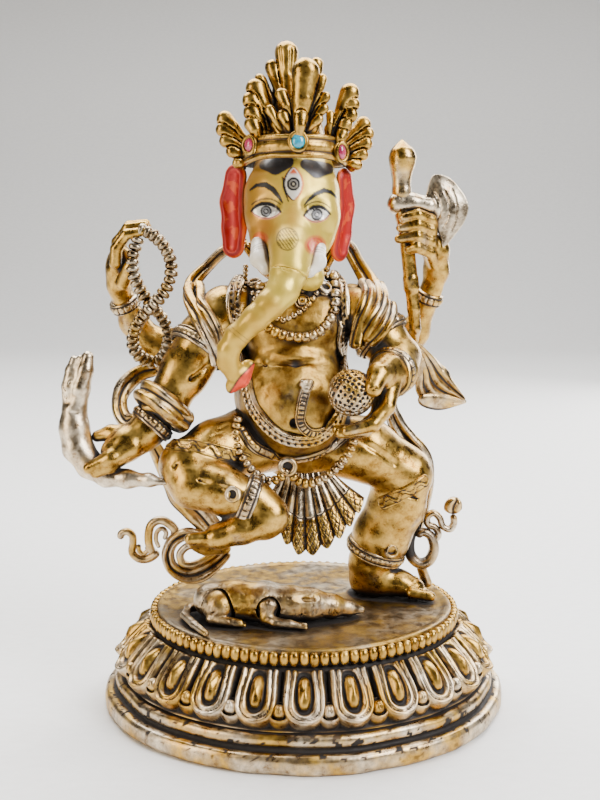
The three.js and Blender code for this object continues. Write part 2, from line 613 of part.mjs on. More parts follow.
const material_of = {
  crown_turquoise: turquoise, crown_ruby_right: ruby, crown_ruby_left: ruby,
  right_ear: red_paint, left_ear: red_paint, right_tusk: ivory_paint, left_tusk: ivory_paint,
  head: painted_gold, trunk: painted_gold,
  torso: gilt, raised_leg: gilt, standing_leg: gilt, right_front_arm: gilt, left_front_arm: gilt,
  right_rear_arm: gilt, left_rear_arm: gilt,
  foot_tenon: copper, tenon_washer: copper, neck_dowel: copper,
  right_front_dowel: copper, right_rear_dowel: copper, left_front_dowel: copper, left_rear_dowel: copper,
  closing_plate: copper, lotus_pedestal: dark_silver, foot_moulding: dark_silver,
};

// ---- assembly ----
const statue = new THREE.Group();
statue.name = "dancing_deity_statue";

function addPiece(name, made, parent) {
  const mesh = made.getMesh();
  const geometry = new THREE.BufferGeometry();
  geometry.setAttribute("position", new THREE.BufferAttribute(mesh.vertProperties, 3));
  geometry.setIndex(new THREE.BufferAttribute(mesh.triVerts, 1));
  geometry.computeVertexNormals();
  const piece = new THREE.Mesh(geometry, material_of[name] ?? silvered);
  piece.name = name;
  parent.add(piece);
}

// The biggest body of a cut piece: the crumbs that a groove leaves at an edge are filed off.
function filed(made) {
  return made.decompose().reduce((big, next) => (next.volume() > big.volume() ? next : big));
}

// The figure stands on the pedestal's top. Each piece is cleared of the ones set before it.
const figure = new THREE.Group();
figure.position.z = base_height;
statue.add(figure);

const passes_top = ["foot_tenon", "tenon_washer"];
const set = [];
for (const [name, make] of Object.entries(figure_pieces)) {
  let made = make(0);
  const box = made.boundingBox();
  for (const other of set) {
    const apart = [0, 1, 2].some(
      (axis) => box.min[axis] > other.box.max[axis] || box.max[axis] < other.box.min[axis],
    );
    if (!apart) made = made.subtract(other.swollen);
  }
  if (!passes_top.includes(name)) made = made.subtract(below_top_solid);
  const kept = filed(made);
  const swollen = make(casting_gap);
  set.push({ name, swollen, box: swollen.boundingBox() });
  addPiece(name, kept, figure);
}

// The pedestal's pieces, with the tenon's hole through the platform.
const tenon_hole = figure_pieces.foot_tenon(casting_gap).translate([0, 0, base_height]);
addPiece("bead_rim", beadRim(0), statue);
addPiece("platform", platform().subtract(beadRim(casting_gap)).subtract(tenon_hole), statue);
addPiece("lotus_pedestal", lotusPedestal().subtract(beadRim(casting_gap)), statue);
addPiece("foot_moulding", footMoulding(), statue);
addPiece("closing_plate", closingPlate(), statue);

export default statue;
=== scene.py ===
import math

import bpy
import numpy as np
import openvdb
from mathutils import Matrix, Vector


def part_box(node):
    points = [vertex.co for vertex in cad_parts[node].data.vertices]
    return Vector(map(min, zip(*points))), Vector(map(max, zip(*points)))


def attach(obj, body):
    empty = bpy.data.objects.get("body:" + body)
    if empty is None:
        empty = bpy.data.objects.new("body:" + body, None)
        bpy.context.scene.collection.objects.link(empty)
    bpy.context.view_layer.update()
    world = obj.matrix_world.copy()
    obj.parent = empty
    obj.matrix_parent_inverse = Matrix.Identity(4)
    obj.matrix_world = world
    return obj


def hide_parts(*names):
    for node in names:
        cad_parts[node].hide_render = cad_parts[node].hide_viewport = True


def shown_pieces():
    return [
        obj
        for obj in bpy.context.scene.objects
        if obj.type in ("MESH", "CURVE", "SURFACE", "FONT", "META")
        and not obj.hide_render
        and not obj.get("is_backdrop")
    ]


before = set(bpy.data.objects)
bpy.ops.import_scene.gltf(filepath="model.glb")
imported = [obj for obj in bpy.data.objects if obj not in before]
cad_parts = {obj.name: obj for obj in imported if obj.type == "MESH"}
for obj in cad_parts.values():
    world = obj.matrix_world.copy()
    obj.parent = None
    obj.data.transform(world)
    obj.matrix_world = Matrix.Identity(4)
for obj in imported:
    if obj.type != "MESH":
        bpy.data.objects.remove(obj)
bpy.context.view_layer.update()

# ---- Camera, table and studio light ----
# The statue stands on a pale table in front of a pale sweep of paper. A large soft window lights it from its
# left front, with a dimmer warm one from its right, a long strip overhead, a narrow one behind its left
# shoulder and a wash on the paper.
camera = bpy.data.objects.new("camera", bpy.data.cameras.new("camera"))
camera.data.lens = 49.5
camera.data.sensor_width = 36
camera.data.clip_start = 0.01
camera.data.clip_end = 5
camera.location = (-0.0012, -0.325, 0.1465)
camera.rotation_euler = (math.radians(80.6), 0, 0)
bpy.context.scene.collection.objects.link(camera)
bpy.context.scene.camera = camera


def new_mesh(name, points, faces):
    """A smooth-shaded mesh from points in millimetres and arrays of quads or triangles."""
    mesh = bpy.data.meshes.new(name)
    faces = [np.asarray(group, np.int32) for group in faces if len(group)]
    mesh.vertices.add(len(points))
    mesh.vertices.foreach_set("co", (np.asarray(points, np.float64) * 0.001).astype(np.float32).ravel())
    sizes = np.concatenate([np.full(len(group), group.shape[1]) for group in faces])
    mesh.loops.add(int(sizes.sum()))
    mesh.loops.foreach_set("vertex_index", np.concatenate([group.ravel() for group in faces]))
    mesh.polygons.add(len(sizes))
    mesh.polygons.foreach_set("loop_start", np.concatenate([[0], np.cumsum(sizes)[:-1]]).astype(np.int32))
    mesh.update(calc_edges=True)
    mesh.shade_smooth()
    return mesh


def node_maker(material):
    """Clears a material's node tree and returns a function that adds one node with its values set."""
    material.use_nodes = True
    tree = material.node_tree
    tree.nodes.clear()

    def add(kind, links=None, **values):
        node = tree.nodes.new(kind)
        for key, value in values.items():
            setattr(node, key, value)
        for socket, source in (links or {}).items():
            if isinstance(source, bpy.types.NodeSocket):
                tree.links.new(source, node.inputs[socket])
            else:
                node.inputs[socket].default_value = source
        return node

    return add


def ramp(add, source, stops):
    """A colour ramp node on a value, from (position, grey or colour) stops."""
    node = add("ShaderNodeValToRGB", {0: source})
    elements = node.color_ramp.elements
    while len(elements) < len(stops):
        elements.new(0.5)
    for element, (position, shade) in zip(elements, stops):
        element.position = position
        element.color = (*shade, 1) if isinstance(shade, tuple) else (shade, shade, shade, 1)
    return node.outputs[0]


table_top = bpy.data.materials.new("table_paper")
add = node_maker(table_top)
grain = add("ShaderNodeTexNoise", {"Scale": 900.0, "Detail": 3.0})
surface = add("ShaderNodeBsdfPrincipled", {
    "Base Color": ramp(add, grain.outputs[0], [(0.3, (0.77, 0.76, 0.74)), (0.7, (0.81, 0.8, 0.78))]),
    "Roughness": 0.75,
})
add("ShaderNodeOutputMaterial", {0: surface.outputs[0]})

sweep_points = []
for step in range(25):
    turn = math.radians(90 * step / 24)
    sweep_points.append((900 + 300 * math.sin(turn), 300 - 300 * math.cos(turn)))
sweep_line = [(-900, 0), *sweep_points, (1200, 1800)]
floor_points = [(x, y, z) for y, z in sweep_line for x in (-2200, 2200)]
floor_faces = [[2 * i, 2 * i + 1, 2 * i + 3, 2 * i + 2] for i in range(len(sweep_line) - 1)]
floor = bpy.data.objects.new("table_sweep", new_mesh("table_sweep", floor_points, [floor_faces]))
floor.data.materials.append(table_top)
bpy.context.scene.collection.objects.link(floor)
floor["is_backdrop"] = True


def soft_light(name, where, power, size, colour):
    """A rectangular soft light that faces the statue's chest."""
    lamp = bpy.data.lights.new(name, "AREA")
    lamp.shape = "RECTANGLE"
    lamp.size, lamp.size_y = size
    lamp.energy = power
    lamp.color = colour
    holder = bpy.data.objects.new(name, lamp)
    holder.location = where
    aim = np.array([0, 0, 0.1]) - np.array(where)
    holder.rotation_euler = (
        math.atan2(math.hypot(aim[0], aim[1]), -aim[2]), 0, math.atan2(aim[0], -aim[1]) + math.pi,
    )
    bpy.context.scene.collection.objects.link(holder)


soft_light("window", (0.46, -0.34, 0.5), 9.0, (0.3, 0.44), (0.98, 0.98, 1.0))
soft_light("warm_side", (-0.52, -0.34, 0.26), 3.0, (0.2, 0.44), (1.0, 0.88, 0.7))
soft_light("overhead", (0.0, 0.1, 0.62), 6.0, (0.7, 0.16), (0.97, 0.98, 1.0))
soft_light("rim", (0.35, 0.5, 0.3), 3.0, (0.16, 0.5), (1.0, 1.0, 1.0))
soft_light("sweep_wash", (0.0, 0.6, 0.9), 22.0, (1.4, 0.4), (1.0, 1.0, 1.0))

world = bpy.data.worlds.new("studio")
world.use_nodes = True
world.node_tree.nodes["Background"].inputs[0].default_value = (0.75, 0.76, 0.78, 1)
world.node_tree.nodes["Background"].inputs[1].default_value = 0.1
bpy.context.scene.world = world

# ---- Foot moulding and closing plate ----
# The pedestal's foot is cast copper alloy in one piece with its two ledges: a heavy rounded edge, a pitted
# dark groove above it and a second ledge that the lotus stands on. A hammered copper plate is let into the
# rebate under it and spun flat.
foot_high = np.array(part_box("foot_moulding")[1]) * 1000
base_wide = foot_high[0]
oval = foot_high[1] / foot_high[0]
table_of_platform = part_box("platform")[1][2] * 1000


def aged_metal(name, gilding, bright=1.0, rough=0.3, grit=0.12):
    """Cast copper alloy, silvered and part gilded, with a black antique patina and painted shade left in the
    hollows.

    gilding is the share of the surface that is gold. The mesh attribute `hollow` says where patina stays and
    shade is painted, and `gilt` adds gold where it is set."""
    material = bpy.data.materials.new(name)
    add = node_maker(material)
    place = add("ShaderNodeTexCoord").outputs["Object"]

    def noise(scale, detail=4.0, rough_detail=0.55):
        return add("ShaderNodeTexNoise", {
            "Vector": place, "Scale": scale, "Detail": detail, "Roughness": rough_detail,
        }).outputs[0]

    def blend(factor, low, high, kind="MIX"):
        node = add("ShaderNodeMix", {0: factor, 6: low, 7: high}, data_type="RGBA", blend_type=kind)
        return node.outputs[2]

    def sum_of(first, second, factor=1.0, offset=0.0):
        scaled = add("ShaderNodeMath", {0: second, 1: factor, 2: offset}, operation="MULTIPLY_ADD")
        total = add("ShaderNodeMath", {0: first, 1: scaled.outputs[0]}, operation="ADD", use_clamp=True)
        return total.outputs[0]

    hollow = add("ShaderNodeAttribute", attribute_name="hollow").outputs["Fac"]
    gilt = add("ShaderNodeAttribute", attribute_name="gilt").outputs["Fac"]
    cloud = noise(85.0, 5.0)
    blotch = noise(330.0, 6.0, 0.65)
    speck = noise(1500.0, 3.0)

    def shades(low, high, dull, shining):
        """The metal's own colour, from its dull patches to its shining ones."""
        dull, shining = ((*(part * bright for part in colour), 1) for colour in (dull, shining))
        return blend(ramp(add, blotch, [(low, 0.0), (high, 1.0)]), dull, shining)

    silver = shades(0.35, 0.68, (0.24, 0.165, 0.09), (0.82, 0.7, 0.52))
    gold = shades(0.33, 0.66, (0.2, 0.095, 0.014), (0.66, 0.41, 0.09))
    share = sum_of(sum_of(gilt, cloud, 1.7, gilding - 0.85), blotch, 0.5, -0.25)
    metal = blend(ramp(add, share, [(0.3, 0.0), (0.62, 1.0)]), silver, gold)
    # Black patina and painted shade: near black where `hollow` is high, and browned a little before that.
    black_patina_and_shade = ramp(add, sum_of(sum_of(hollow, blotch, 0.5, -0.26), speck, 0.3, -0.15),
        [(0.42, 0.0), (0.8, 1.0)])
    brown_patina_and_shade = ramp(add, sum_of(sum_of(hollow, cloud, 0.9, -0.42), blotch, 0.5, -0.25),
        [(0.22, 0.0), (0.6, 0.85)])
    brown = blend(brown_patina_and_shade, metal, (0.085, 0.04, 0.014, 1))
    colour = blend(black_patina_and_shade, brown, (0.014, 0.010, 0.008, 1))
    roughness = add("ShaderNodeMapRange",
        {0: blotch, 1: 0.3, 2: 0.7, 3: rough - 0.07, 4: rough + 0.15}).outputs[0]
    roughness = sum_of(roughness, black_patina_and_shade, 0.35)
    metallic = add("ShaderNodeMapRange", {0: black_patina_and_shade, 1: 0.0, 2: 1.0, 3: 1.0, 4: 0.25}).outputs[0]
    fine = add("ShaderNodeBump", {"Strength": grit, "Distance": 0.0002, "Height": speck}).outputs[0]
    wavy = add("ShaderNodeBump",
        {"Strength": 0.22, "Distance": 0.0006, "Height": blotch, "Normal": fine}).outputs[0]
    shader = add("ShaderNodeBsdfPrincipled", {
        "Base Color": colour, "Roughness": roughness, "Metallic": metallic, "Normal": wavy,
    })
    add("ShaderNodeOutputMaterial", {0: shader.outputs[0]})
    return material


def add_piece(name, mesh, nodes, material):
    """Makes the finished object: it rides on the statue's one body and stands for the named CAD nodes."""
    piece = bpy.data.objects.new(name, mesh)
    if material:
        mesh.materials.clear()
        mesh.materials.append(material)
    bpy.context.scene.collection.objects.link(piece)
    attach(piece, "root")
    if nodes:
        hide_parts(*nodes)
    return piece


def set_values(mesh, name, values):
    """One number for each point of a mesh, kept under a name that the finishes read."""
    data = mesh.attributes.new(name, "FLOAT", "POINT").data
    data.foreach_set("value", np.asarray(values, np.float32).ravel())


def resampled(line, marks, where):
    """A line's values at new places, where marks are the places of the points that it has."""
    return np.stack([np.interp(where, marks, column) for column in line.T], axis=1)


def round_turns(count):
    """Evenly spaced angles once round."""
    return np.linspace(0, 2 * math.pi, count, endpoint=False)


def spread_along(points, spacing):
    """Points moved to an even spacing along the line through them."""
    points = np.asarray(points, float)
    steps = np.concatenate([[0], np.cumsum(np.linalg.norm(np.diff(points, axis=0), axis=1))])
    count = max(2, int(round(steps[-1] / spacing)) + 1)
    return resampled(points, steps, np.linspace(0, steps[-1], count))


def waves(points, size, seed, octaves=3):
    """Smooth random unevenness between -1 and 1, with a wavelength of about `size` millimetres."""
    chance = np.random.default_rng(seed)
    total = np.zeros(len(points))
    for octave in range(octaves):
        for _ in range(5):
            direction = chance.normal(size=3)
            direction *= 2 * math.pi / (size / 1.9**octave) / np.linalg.norm(direction)
            total += np.sin(points @ direction + chance.uniform(0, 6.28)) * 0.5**octave
    return total / 4


def turned_oval(name, profile, spacing=0.55, around=420, uneven=0.0, seed=0):
    """An oval ring or disc from a closed profile of (radius, height)."""
    outline = spread_along(profile, spacing)[:-1]
    turns = round_turns(around)
    radius, height = outline[:, 0][None, :], outline[:, 1][None, :]
    x = radius * np.sin(turns)[:, None]
    y = -radius * oval * np.cos(turns)[:, None]
    points = np.stack([x, y, np.broadcast_to(height, x.shape)], axis=2).reshape(-1, 3)
    if uneven:
        level = points * [1, 1, 0]
        outward = level / np.maximum(np.linalg.norm(level, axis=1, keepdims=True), 1)
        points = points + outward * (waves(points, 26, seed) * uneven)[:, None]
        points[:, 2] += waves(points + 50, 18, seed + 1) * uneven * 0.45 * (points[:, 2] > 0.3)
    rows, columns = len(turns), len(outline)
    here = np.arange(rows * columns).reshape(rows, columns)
    across = np.roll(here, -1, axis=0)
    corners = [here, across, np.roll(across, -1, axis=1), np.roll(here, -1, axis=1)]
    quads = np.stack(corners, axis=2).reshape(-1, 4)
    across_line, up_line = outline.T
    turned = np.sum(across_line * np.roll(up_line, -1) - np.roll(across_line, -1) * up_line)
    return new_mesh(name, points, [quads if turned > 0 else quads[:, ::-1]])


silvered = aged_metal("rubbed_silvering", 0.46, 1.05)
gilded = aged_metal("worn_gilding", 1.05)
copper_sheet = aged_metal("hammered_copper", 0.9, 0.6, 0.42, 0.3)

edge = base_wide - 0.7
foot_profile = [
    (edge - 4.2, 0), (edge - 1.6, 0), (edge - 0.5, 0.5), (edge, 1.5), (edge, 3.2), (edge - 0.3, 4.6),
    (edge - 1.1, 5.4), (edge - 2.4, 5.6), (edge - 3.6, 5.5), (edge - 4.1, 6.0), (edge - 4.0, 6.6),
    (edge - 3.4, 7.2), (edge - 3.3, 8.6), (edge - 3.7, 9.4), (edge - 4.8, 10.0), (edge - 7.5, 10.4),
    (edge - 11.5, 10.6), (edge - 11.5, 8.0), (edge - 7.0, 7.5), (edge - 7.0, 2.2), (edge - 4.2, 2.2),
    (edge - 4.2, 0),
]
foot = turned_oval("foot_moulding", foot_profile, 0.6, 420, 0.32, 11)
spots = np.zeros(len(foot.vertices) * 3, np.float32)
foot.vertices.foreach_get("co", spots)
spots = spots.reshape(-1, 3) * 1000.0
casting_pits = waves(spots, 4.5, 12) + 0.8 * waves(spots, 2.1, 13) > 0.72
low_lying = np.exp(-(((spots[:, 2] - 6.8) / 2.6) ** 2)) + 0.3
set_values(foot, "pit", casting_pits * low_lying)
add_piece("foot_moulding_cast", foot, ["foot_moulding"], silvered)

plate_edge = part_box("closing_plate")[1][0] * 1000
plate_profile = [(0.4, 0), (plate_edge, 0), (plate_edge, 1.6), (0.4, 1.6), (0.4, 0)]
plate = turned_oval("closing_plate", plate_profile, 1.2, 200)
add_piece("closing_plate_hammered", plate, ["closing_plate"], copper_sheet)

# ---- Lotus pedestal ----
# A sloping skirt cast with a row of lotus petals: each has a rolled silvered rim, a second ring inside it and
# a long gilded boss. Small pointed petals of the row behind fill the gaps at the foot.
petal_number = 24
skirt_top = (foot_high[0] - 15.2, 23.6)
skirt_foot = (foot_high[0] - 6.4, 10.6)
skirt_run = math.hypot(skirt_foot[0] - skirt_top[0], skirt_top[1] - skirt_foot[1])


def copies_tree():
    """Geometry nodes that set a shape on every point, turned and sized by the points' own attributes."""
    tree = bpy.data.node_groups.new("set_copies_on_points", "GeometryNodeTree")
    tree.interface.new_socket("Points", in_out="INPUT", socket_type="NodeSocketGeometry")
    tree.interface.new_socket("Shape", in_out="INPUT", socket_type="NodeSocketObject")
    tree.interface.new_socket("Finish", in_out="INPUT", socket_type="NodeSocketMaterial")
    tree.interface.new_socket("Copies", in_out="OUTPUT", socket_type="NodeSocketGeometry")
    new = tree.nodes.new
    source, target = new("NodeGroupInput"), new("NodeGroupOutput")
    dots, shape = new("GeometryNodeMeshToPoints"), new("GeometryNodeObjectInfo")
    place = new("GeometryNodeInstanceOnPoints")
    turn, size = new("GeometryNodeInputNamedAttribute"), new("GeometryNodeInputNamedAttribute")
    turn.data_type = size.data_type = "FLOAT_VECTOR"
    turn.inputs["Name"].default_value, size.inputs["Name"].default_value = "turn", "size"
    euler = new("FunctionNodeEulerToRotation")
    real, finish = new("GeometryNodeRealizeInstances"), new("GeometryNodeSetMaterial")
    for start, end in [
        (source.outputs["Points"], dots.inputs["Mesh"]), (dots.outputs[0], place.inputs["Points"]),
        (source.outputs["Shape"], shape.inputs["Object"]),
        (shape.outputs["Geometry"], place.inputs["Instance"]), (turn.outputs[0], euler.inputs[0]),
        (euler.outputs[0], place.inputs["Rotation"]), (size.outputs[0], place.inputs["Scale"]),
        (place.outputs[0], real.inputs[0]), (real.outputs[0], finish.inputs["Geometry"]),
        (source.outputs["Finish"], finish.inputs["Material"]), (finish.outputs[0], target.inputs[0]),
    ]:
        tree.links.new(start, end)
    return tree


set_copies = copies_tree()


def repeated(name, shape, centres, frames, sizes, material):
    """Copies of a millimetre mesh at centres, with frames of (across, out, up) unit vectors and sizes."""
    mesh = bpy.data.meshes.new(name)
    mesh.from_pydata([tuple(np.asarray(centre) * 0.001) for centre in centres], [], [])
    turns = [Matrix(np.stack(frame_axes, axis=1).tolist()).to_euler() for frame_axes in frames]
    for attribute, values in (("turn", turns), ("size", sizes)):
        data = mesh.attributes.new(attribute, "FLOAT_VECTOR", "POINT")
        data.data.foreach_set("vector", np.array([tuple(v) for v in values], np.float32).ravel())
    holder, pattern = bpy.data.objects.new(name, mesh), bpy.data.objects.new(name + "_shape", shape)
    for part in (holder, pattern):
        bpy.context.scene.collection.objects.link(part)
    modifier = holder.modifiers.new("copies", "NODES")
    modifier.node_group = set_copies
    keys = {item.name: item.identifier for item in set_copies.interface.items_tree}
    modifier[keys["Shape"]] = pattern
    modifier[keys["Finish"]] = material
    bpy.context.view_layer.update()
    made = bpy.data.meshes.new_from_object(holder.evaluated_get(bpy.context.evaluated_depsgraph_get()))
    for part in (holder, pattern):
        bpy.data.objects.remove(part)
    made.name = name
    made.shade_smooth()
    return made


def oval_stations(radius, count, start=0.0):
    """Evenly spaced points round the pedestal's oval, with their (across, out, up) frames."""
    fine = np.linspace(0, 2 * math.pi, 2001)
    arc = np.concatenate([[0], np.cumsum(np.hypot(np.diff(np.sin(fine)), np.diff(oval * np.cos(fine))))])
    turns = np.interp((np.arange(count) / count + start) * arc[-1] % arc[-1], arc, fine)
    found = []
    for turn in turns:
        out = np.array([math.sin(turn) * oval, -math.cos(turn), 0])
        out /= np.linalg.norm(out)
        across = np.cross(out, [0, 0, 1])
        spot = np.array([radius * math.sin(turn), -radius * oval * math.cos(turn), 0])
        found.append((spot, (across, out, np.array([0, 0, 1.0]))))
    return found


def step_between(value, low, high):
    share = np.clip((value - low) / (high - low), 0, 1)
    return share * share * (3 - 2 * share)


def ridge(value, centre, width):
    return np.exp(-(((value - centre) / width) ** 2))


def sheet_quads(rows, columns):
    """The quads of a thin closed sheet: a front grid of points, a back grid after it and the wall between."""
    size = rows * columns
    here = np.arange(size).reshape(rows, columns)
    skin = np.stack([here[:-1, :-1], here[1:, :-1], here[1:, 1:], here[:-1, 1:]], axis=2).reshape(-1, 4)
    border = np.concatenate([here[0, :-1], here[:-1, -1], here[-1, :0:-1], here[:0:-1, 0]])
    following = np.roll(border, -1)
    wall = np.stack([border, following, following + size, border + size], axis=1)
    return np.concatenate([skin, skin[:, ::-1] + size, wall])


def petal_mesh(half_width, length, tip, golden=0.85):
    """One petal in (across, out, up), its foot at the origin, as a closed scale with a sculpted face."""
    columns, rows = np.linspace(-1, 1, 35), np.linspace(0, 1, 43)
    share, rise = np.meshgrid(columns, rows)
    across, along = share * half_width, rise * length
    width_here = half_width * (1 - 0.14 * step_between(rise, 0.45, 1.0))
    centre = half_width * 0.98
    below = np.clip(centre - along, 0, None)
    inside = np.where(along < centre, width_here - np.hypot(across, below), width_here - np.abs(across))
    depth = 0.9 * step_between(inside, -0.1, 0.55)
    rolled_rim, inner_ring = ridge(inside, 1.1, 0.95), ridge(inside, 3.05, 0.75)
    crease = ridge(inside, 2.15, 0.3)
    depth += 1.2 * rolled_rim + 0.9 * inner_ring - 0.4 * crease
    square = 2.6
    off_across, off_along = np.abs(across) / 1.85, np.abs(along - length * 0.6) / (length * 0.29)
    boss = 1 - (off_across**square + off_along**square) ** (1 / square)
    depth += 2.5 * np.sqrt(np.clip(boss, 0, 1)) - 0.8 * ridge(boss, -0.14, 0.13)
    swell = 2.1 * np.clip(1 - ((rise - 0.24) / 0.8) ** 2, 0, 1)
    swell = swell + tip * ridge(along, 1.3, 1.5) * ridge(across, 0, half_width * 0.5)
    out = np.where(inside > -0.2, depth + swell * step_between(inside, -0.2, 1.6), -0.4)
    flat = (skirt_foot[0] - skirt_top[0]) / skirt_run
    steep = (skirt_top[1] - skirt_foot[1]) / skirt_run
    y = out * steep - along * flat
    z = along * steep + out * flat
    front = np.stack([across, y, z], axis=2).reshape(-1, 3)
    back = np.stack([across, -along * flat - 1.6, along * steep - 0.6], axis=2).reshape(-1, 3)
    mesh = new_mesh("petal", np.concatenate([front, back]), [sheet_quads(rows.size, columns.size)])
    gold = golden * step_between(boss, -0.05, 0.15)
    set_values(mesh, "gilt", [gold, np.zeros(gold.shape)])
    return mesh


petal_places = oval_stations(skirt_foot[0] - 0.2, petal_number)
petals = repeated(
    "lotus_petals", petal_mesh(6.5, 15.8, 1.1),
    [centre + [0, 0, skirt_foot[1] + 0.15] for centre, _ in petal_places],
    [axes for _, axes in petal_places], [(1, 1, 1)] * petal_number, silvered,
)
add_piece("lotus_petals", petals, ["lotus_pedestal"], None)

behind_places = oval_stations(skirt_foot[0] - 0.6, petal_number, 0.5 / petal_number)
behind = repeated(
    "rear_petals", petal_mesh(3.8, 7.5, 0.6, 0.0),
    [centre + [0, 0, skirt_foot[1]] for centre, _ in behind_places], [axes for _, axes in behind_places],
    [(1, 0.7, 1)] * petal_number, silvered,
)
add_piece("rear_petals", behind, [], None)

skirt_profile = [
    (skirt_foot[0] - 5, skirt_foot[1] - 0.4), (skirt_foot[0] + 0.3, skirt_foot[1] - 0.4),
    (skirt_foot[0] - 1.4, skirt_foot[1] + 1.4), (skirt_top[0] + 0.2, skirt_top[1] - 1.2),
    (skirt_top[0] - 0.8, skirt_top[1]), (skirt_top[0] - 3.2, skirt_top[1]),
    (skirt_foot[0] - 5, skirt_foot[1] - 0.4),
]
add_piece("pedestal_skirt", turned_oval("pedestal_skirt", skirt_profile, 0.7, 300, 0.15, 5), [], silvered)

# ---- Platform and beaded rim ----
# The pedestal's top is a thick disc with a low raised border. A row of upright barrel beads, chased one from
# the next and gilded, runs round its edge over a plain neck.
rim_radius = foot_high[0] - 16.6
platform_profile = [
    (0.4, table_of_platform - 3), (rim_radius - 4, table_of_platform - 3),
    (rim_radius - 3, table_of_platform - 6.3), (rim_radius + 1.0, table_of_platform - 6.4),
    (rim_radius + 0.6, table_of_platform - 5.2), (rim_radius - 0.6, table_of_platform - 4.6),
    (rim_radius - 0.4, table_of_platform - 0.4), (rim_radius - 1.2, table_of_platform + 0.05),
    (rim_radius - 2.4, table_of_platform - 0.05), (rim_radius - 3.2, table_of_platform - 0.35),
    (0.4, table_of_platform - 0.35), (0.4, table_of_platform - 3),
]
olive_top = aged_metal("tarnished_top", 0.5, 0.55, 0.4, 0.35)
disc = turned_oval("platform_disc", platform_profile, 0.6, 360, 0.18, 7)
add_piece("platform_disc", disc, ["platform"], olive_top)


def barrel(radius_across, radius_out, radius_up, square=2.6, rings=7, around=10):
    """A bead with squared shoulders, in millimetres, about its own centre."""
    points = []
    for row in range(rings + 1):
        tilt = math.pi * row / rings - math.pi / 2
        for column in range(around):
            turn = 2 * math.pi * column / around
            level = math.cos(tilt)
            way = np.array([math.cos(turn) * level, math.sin(turn) * level, math.sin(tilt)])
            way /= (np.abs(way) ** square).sum() ** (1 / square)
            points.append(way * (radius_across, radius_out, radius_up))
    poles = [points[0], points[-1]]
    points = points[around:-around]
    points += poles
    quads, triangles = [], []
    for row in range(rings - 2):
        low, high = row * around, (row + 1) * around
        for column in range(around):
            following = (column + 1) % around
            quads.append([low + column, low + following, high + following, high + column])
    south, north, last = len(points) - 2, len(points) - 1, (rings - 2) * around
    for column in range(around):
        following = (column + 1) % around
        triangles.append([south, following, column])
        triangles.append([north, last + column, last + following])
    return new_mesh("bead", points, [quads, triangles])


rim_number = 98
rim_places = oval_stations(rim_radius + 0.55, rim_number)
chance = np.random.default_rng(3)
rim_beads = repeated(
    "rim_beads", barrel(1.36, 1.35, 2.05, 2.7, 8, 12),
    [centre + [0, 0, table_of_platform - 2.35 + chance.normal(0, 0.06)] for centre, _ in rim_places],
    [axes for _, axes in rim_places], [(chance.uniform(0.95, 1.04),) * 3 for _ in rim_places], gilded,
)
add_piece("rim_beads", rim_beads, ["bead_rim"], None)

# ---- Torso ----
# The body is one casting from the hips to the neck: a round forward belly, soft folded chest and broad
# shoulders, left in worn gilding with dark patina and painted shade in the folds.
quick_share = 1.0


def sampled(field, low, cell, points):
    """A field's values at points in millimetres, blended between its cells."""
    where = np.clip((points - low) / cell, 0, np.array(field.shape) - 1.001)
    base = where.astype(int)
    share = where - base
    total = 0.0
    for corner in range(8):
        step = np.array([corner >> 2 & 1, corner >> 1 & 1, corner & 1])
        weight = np.prod(np.where(step, share, 1 - share), axis=1)
        total = total + weight * field[tuple((base + step).T)]
    return total


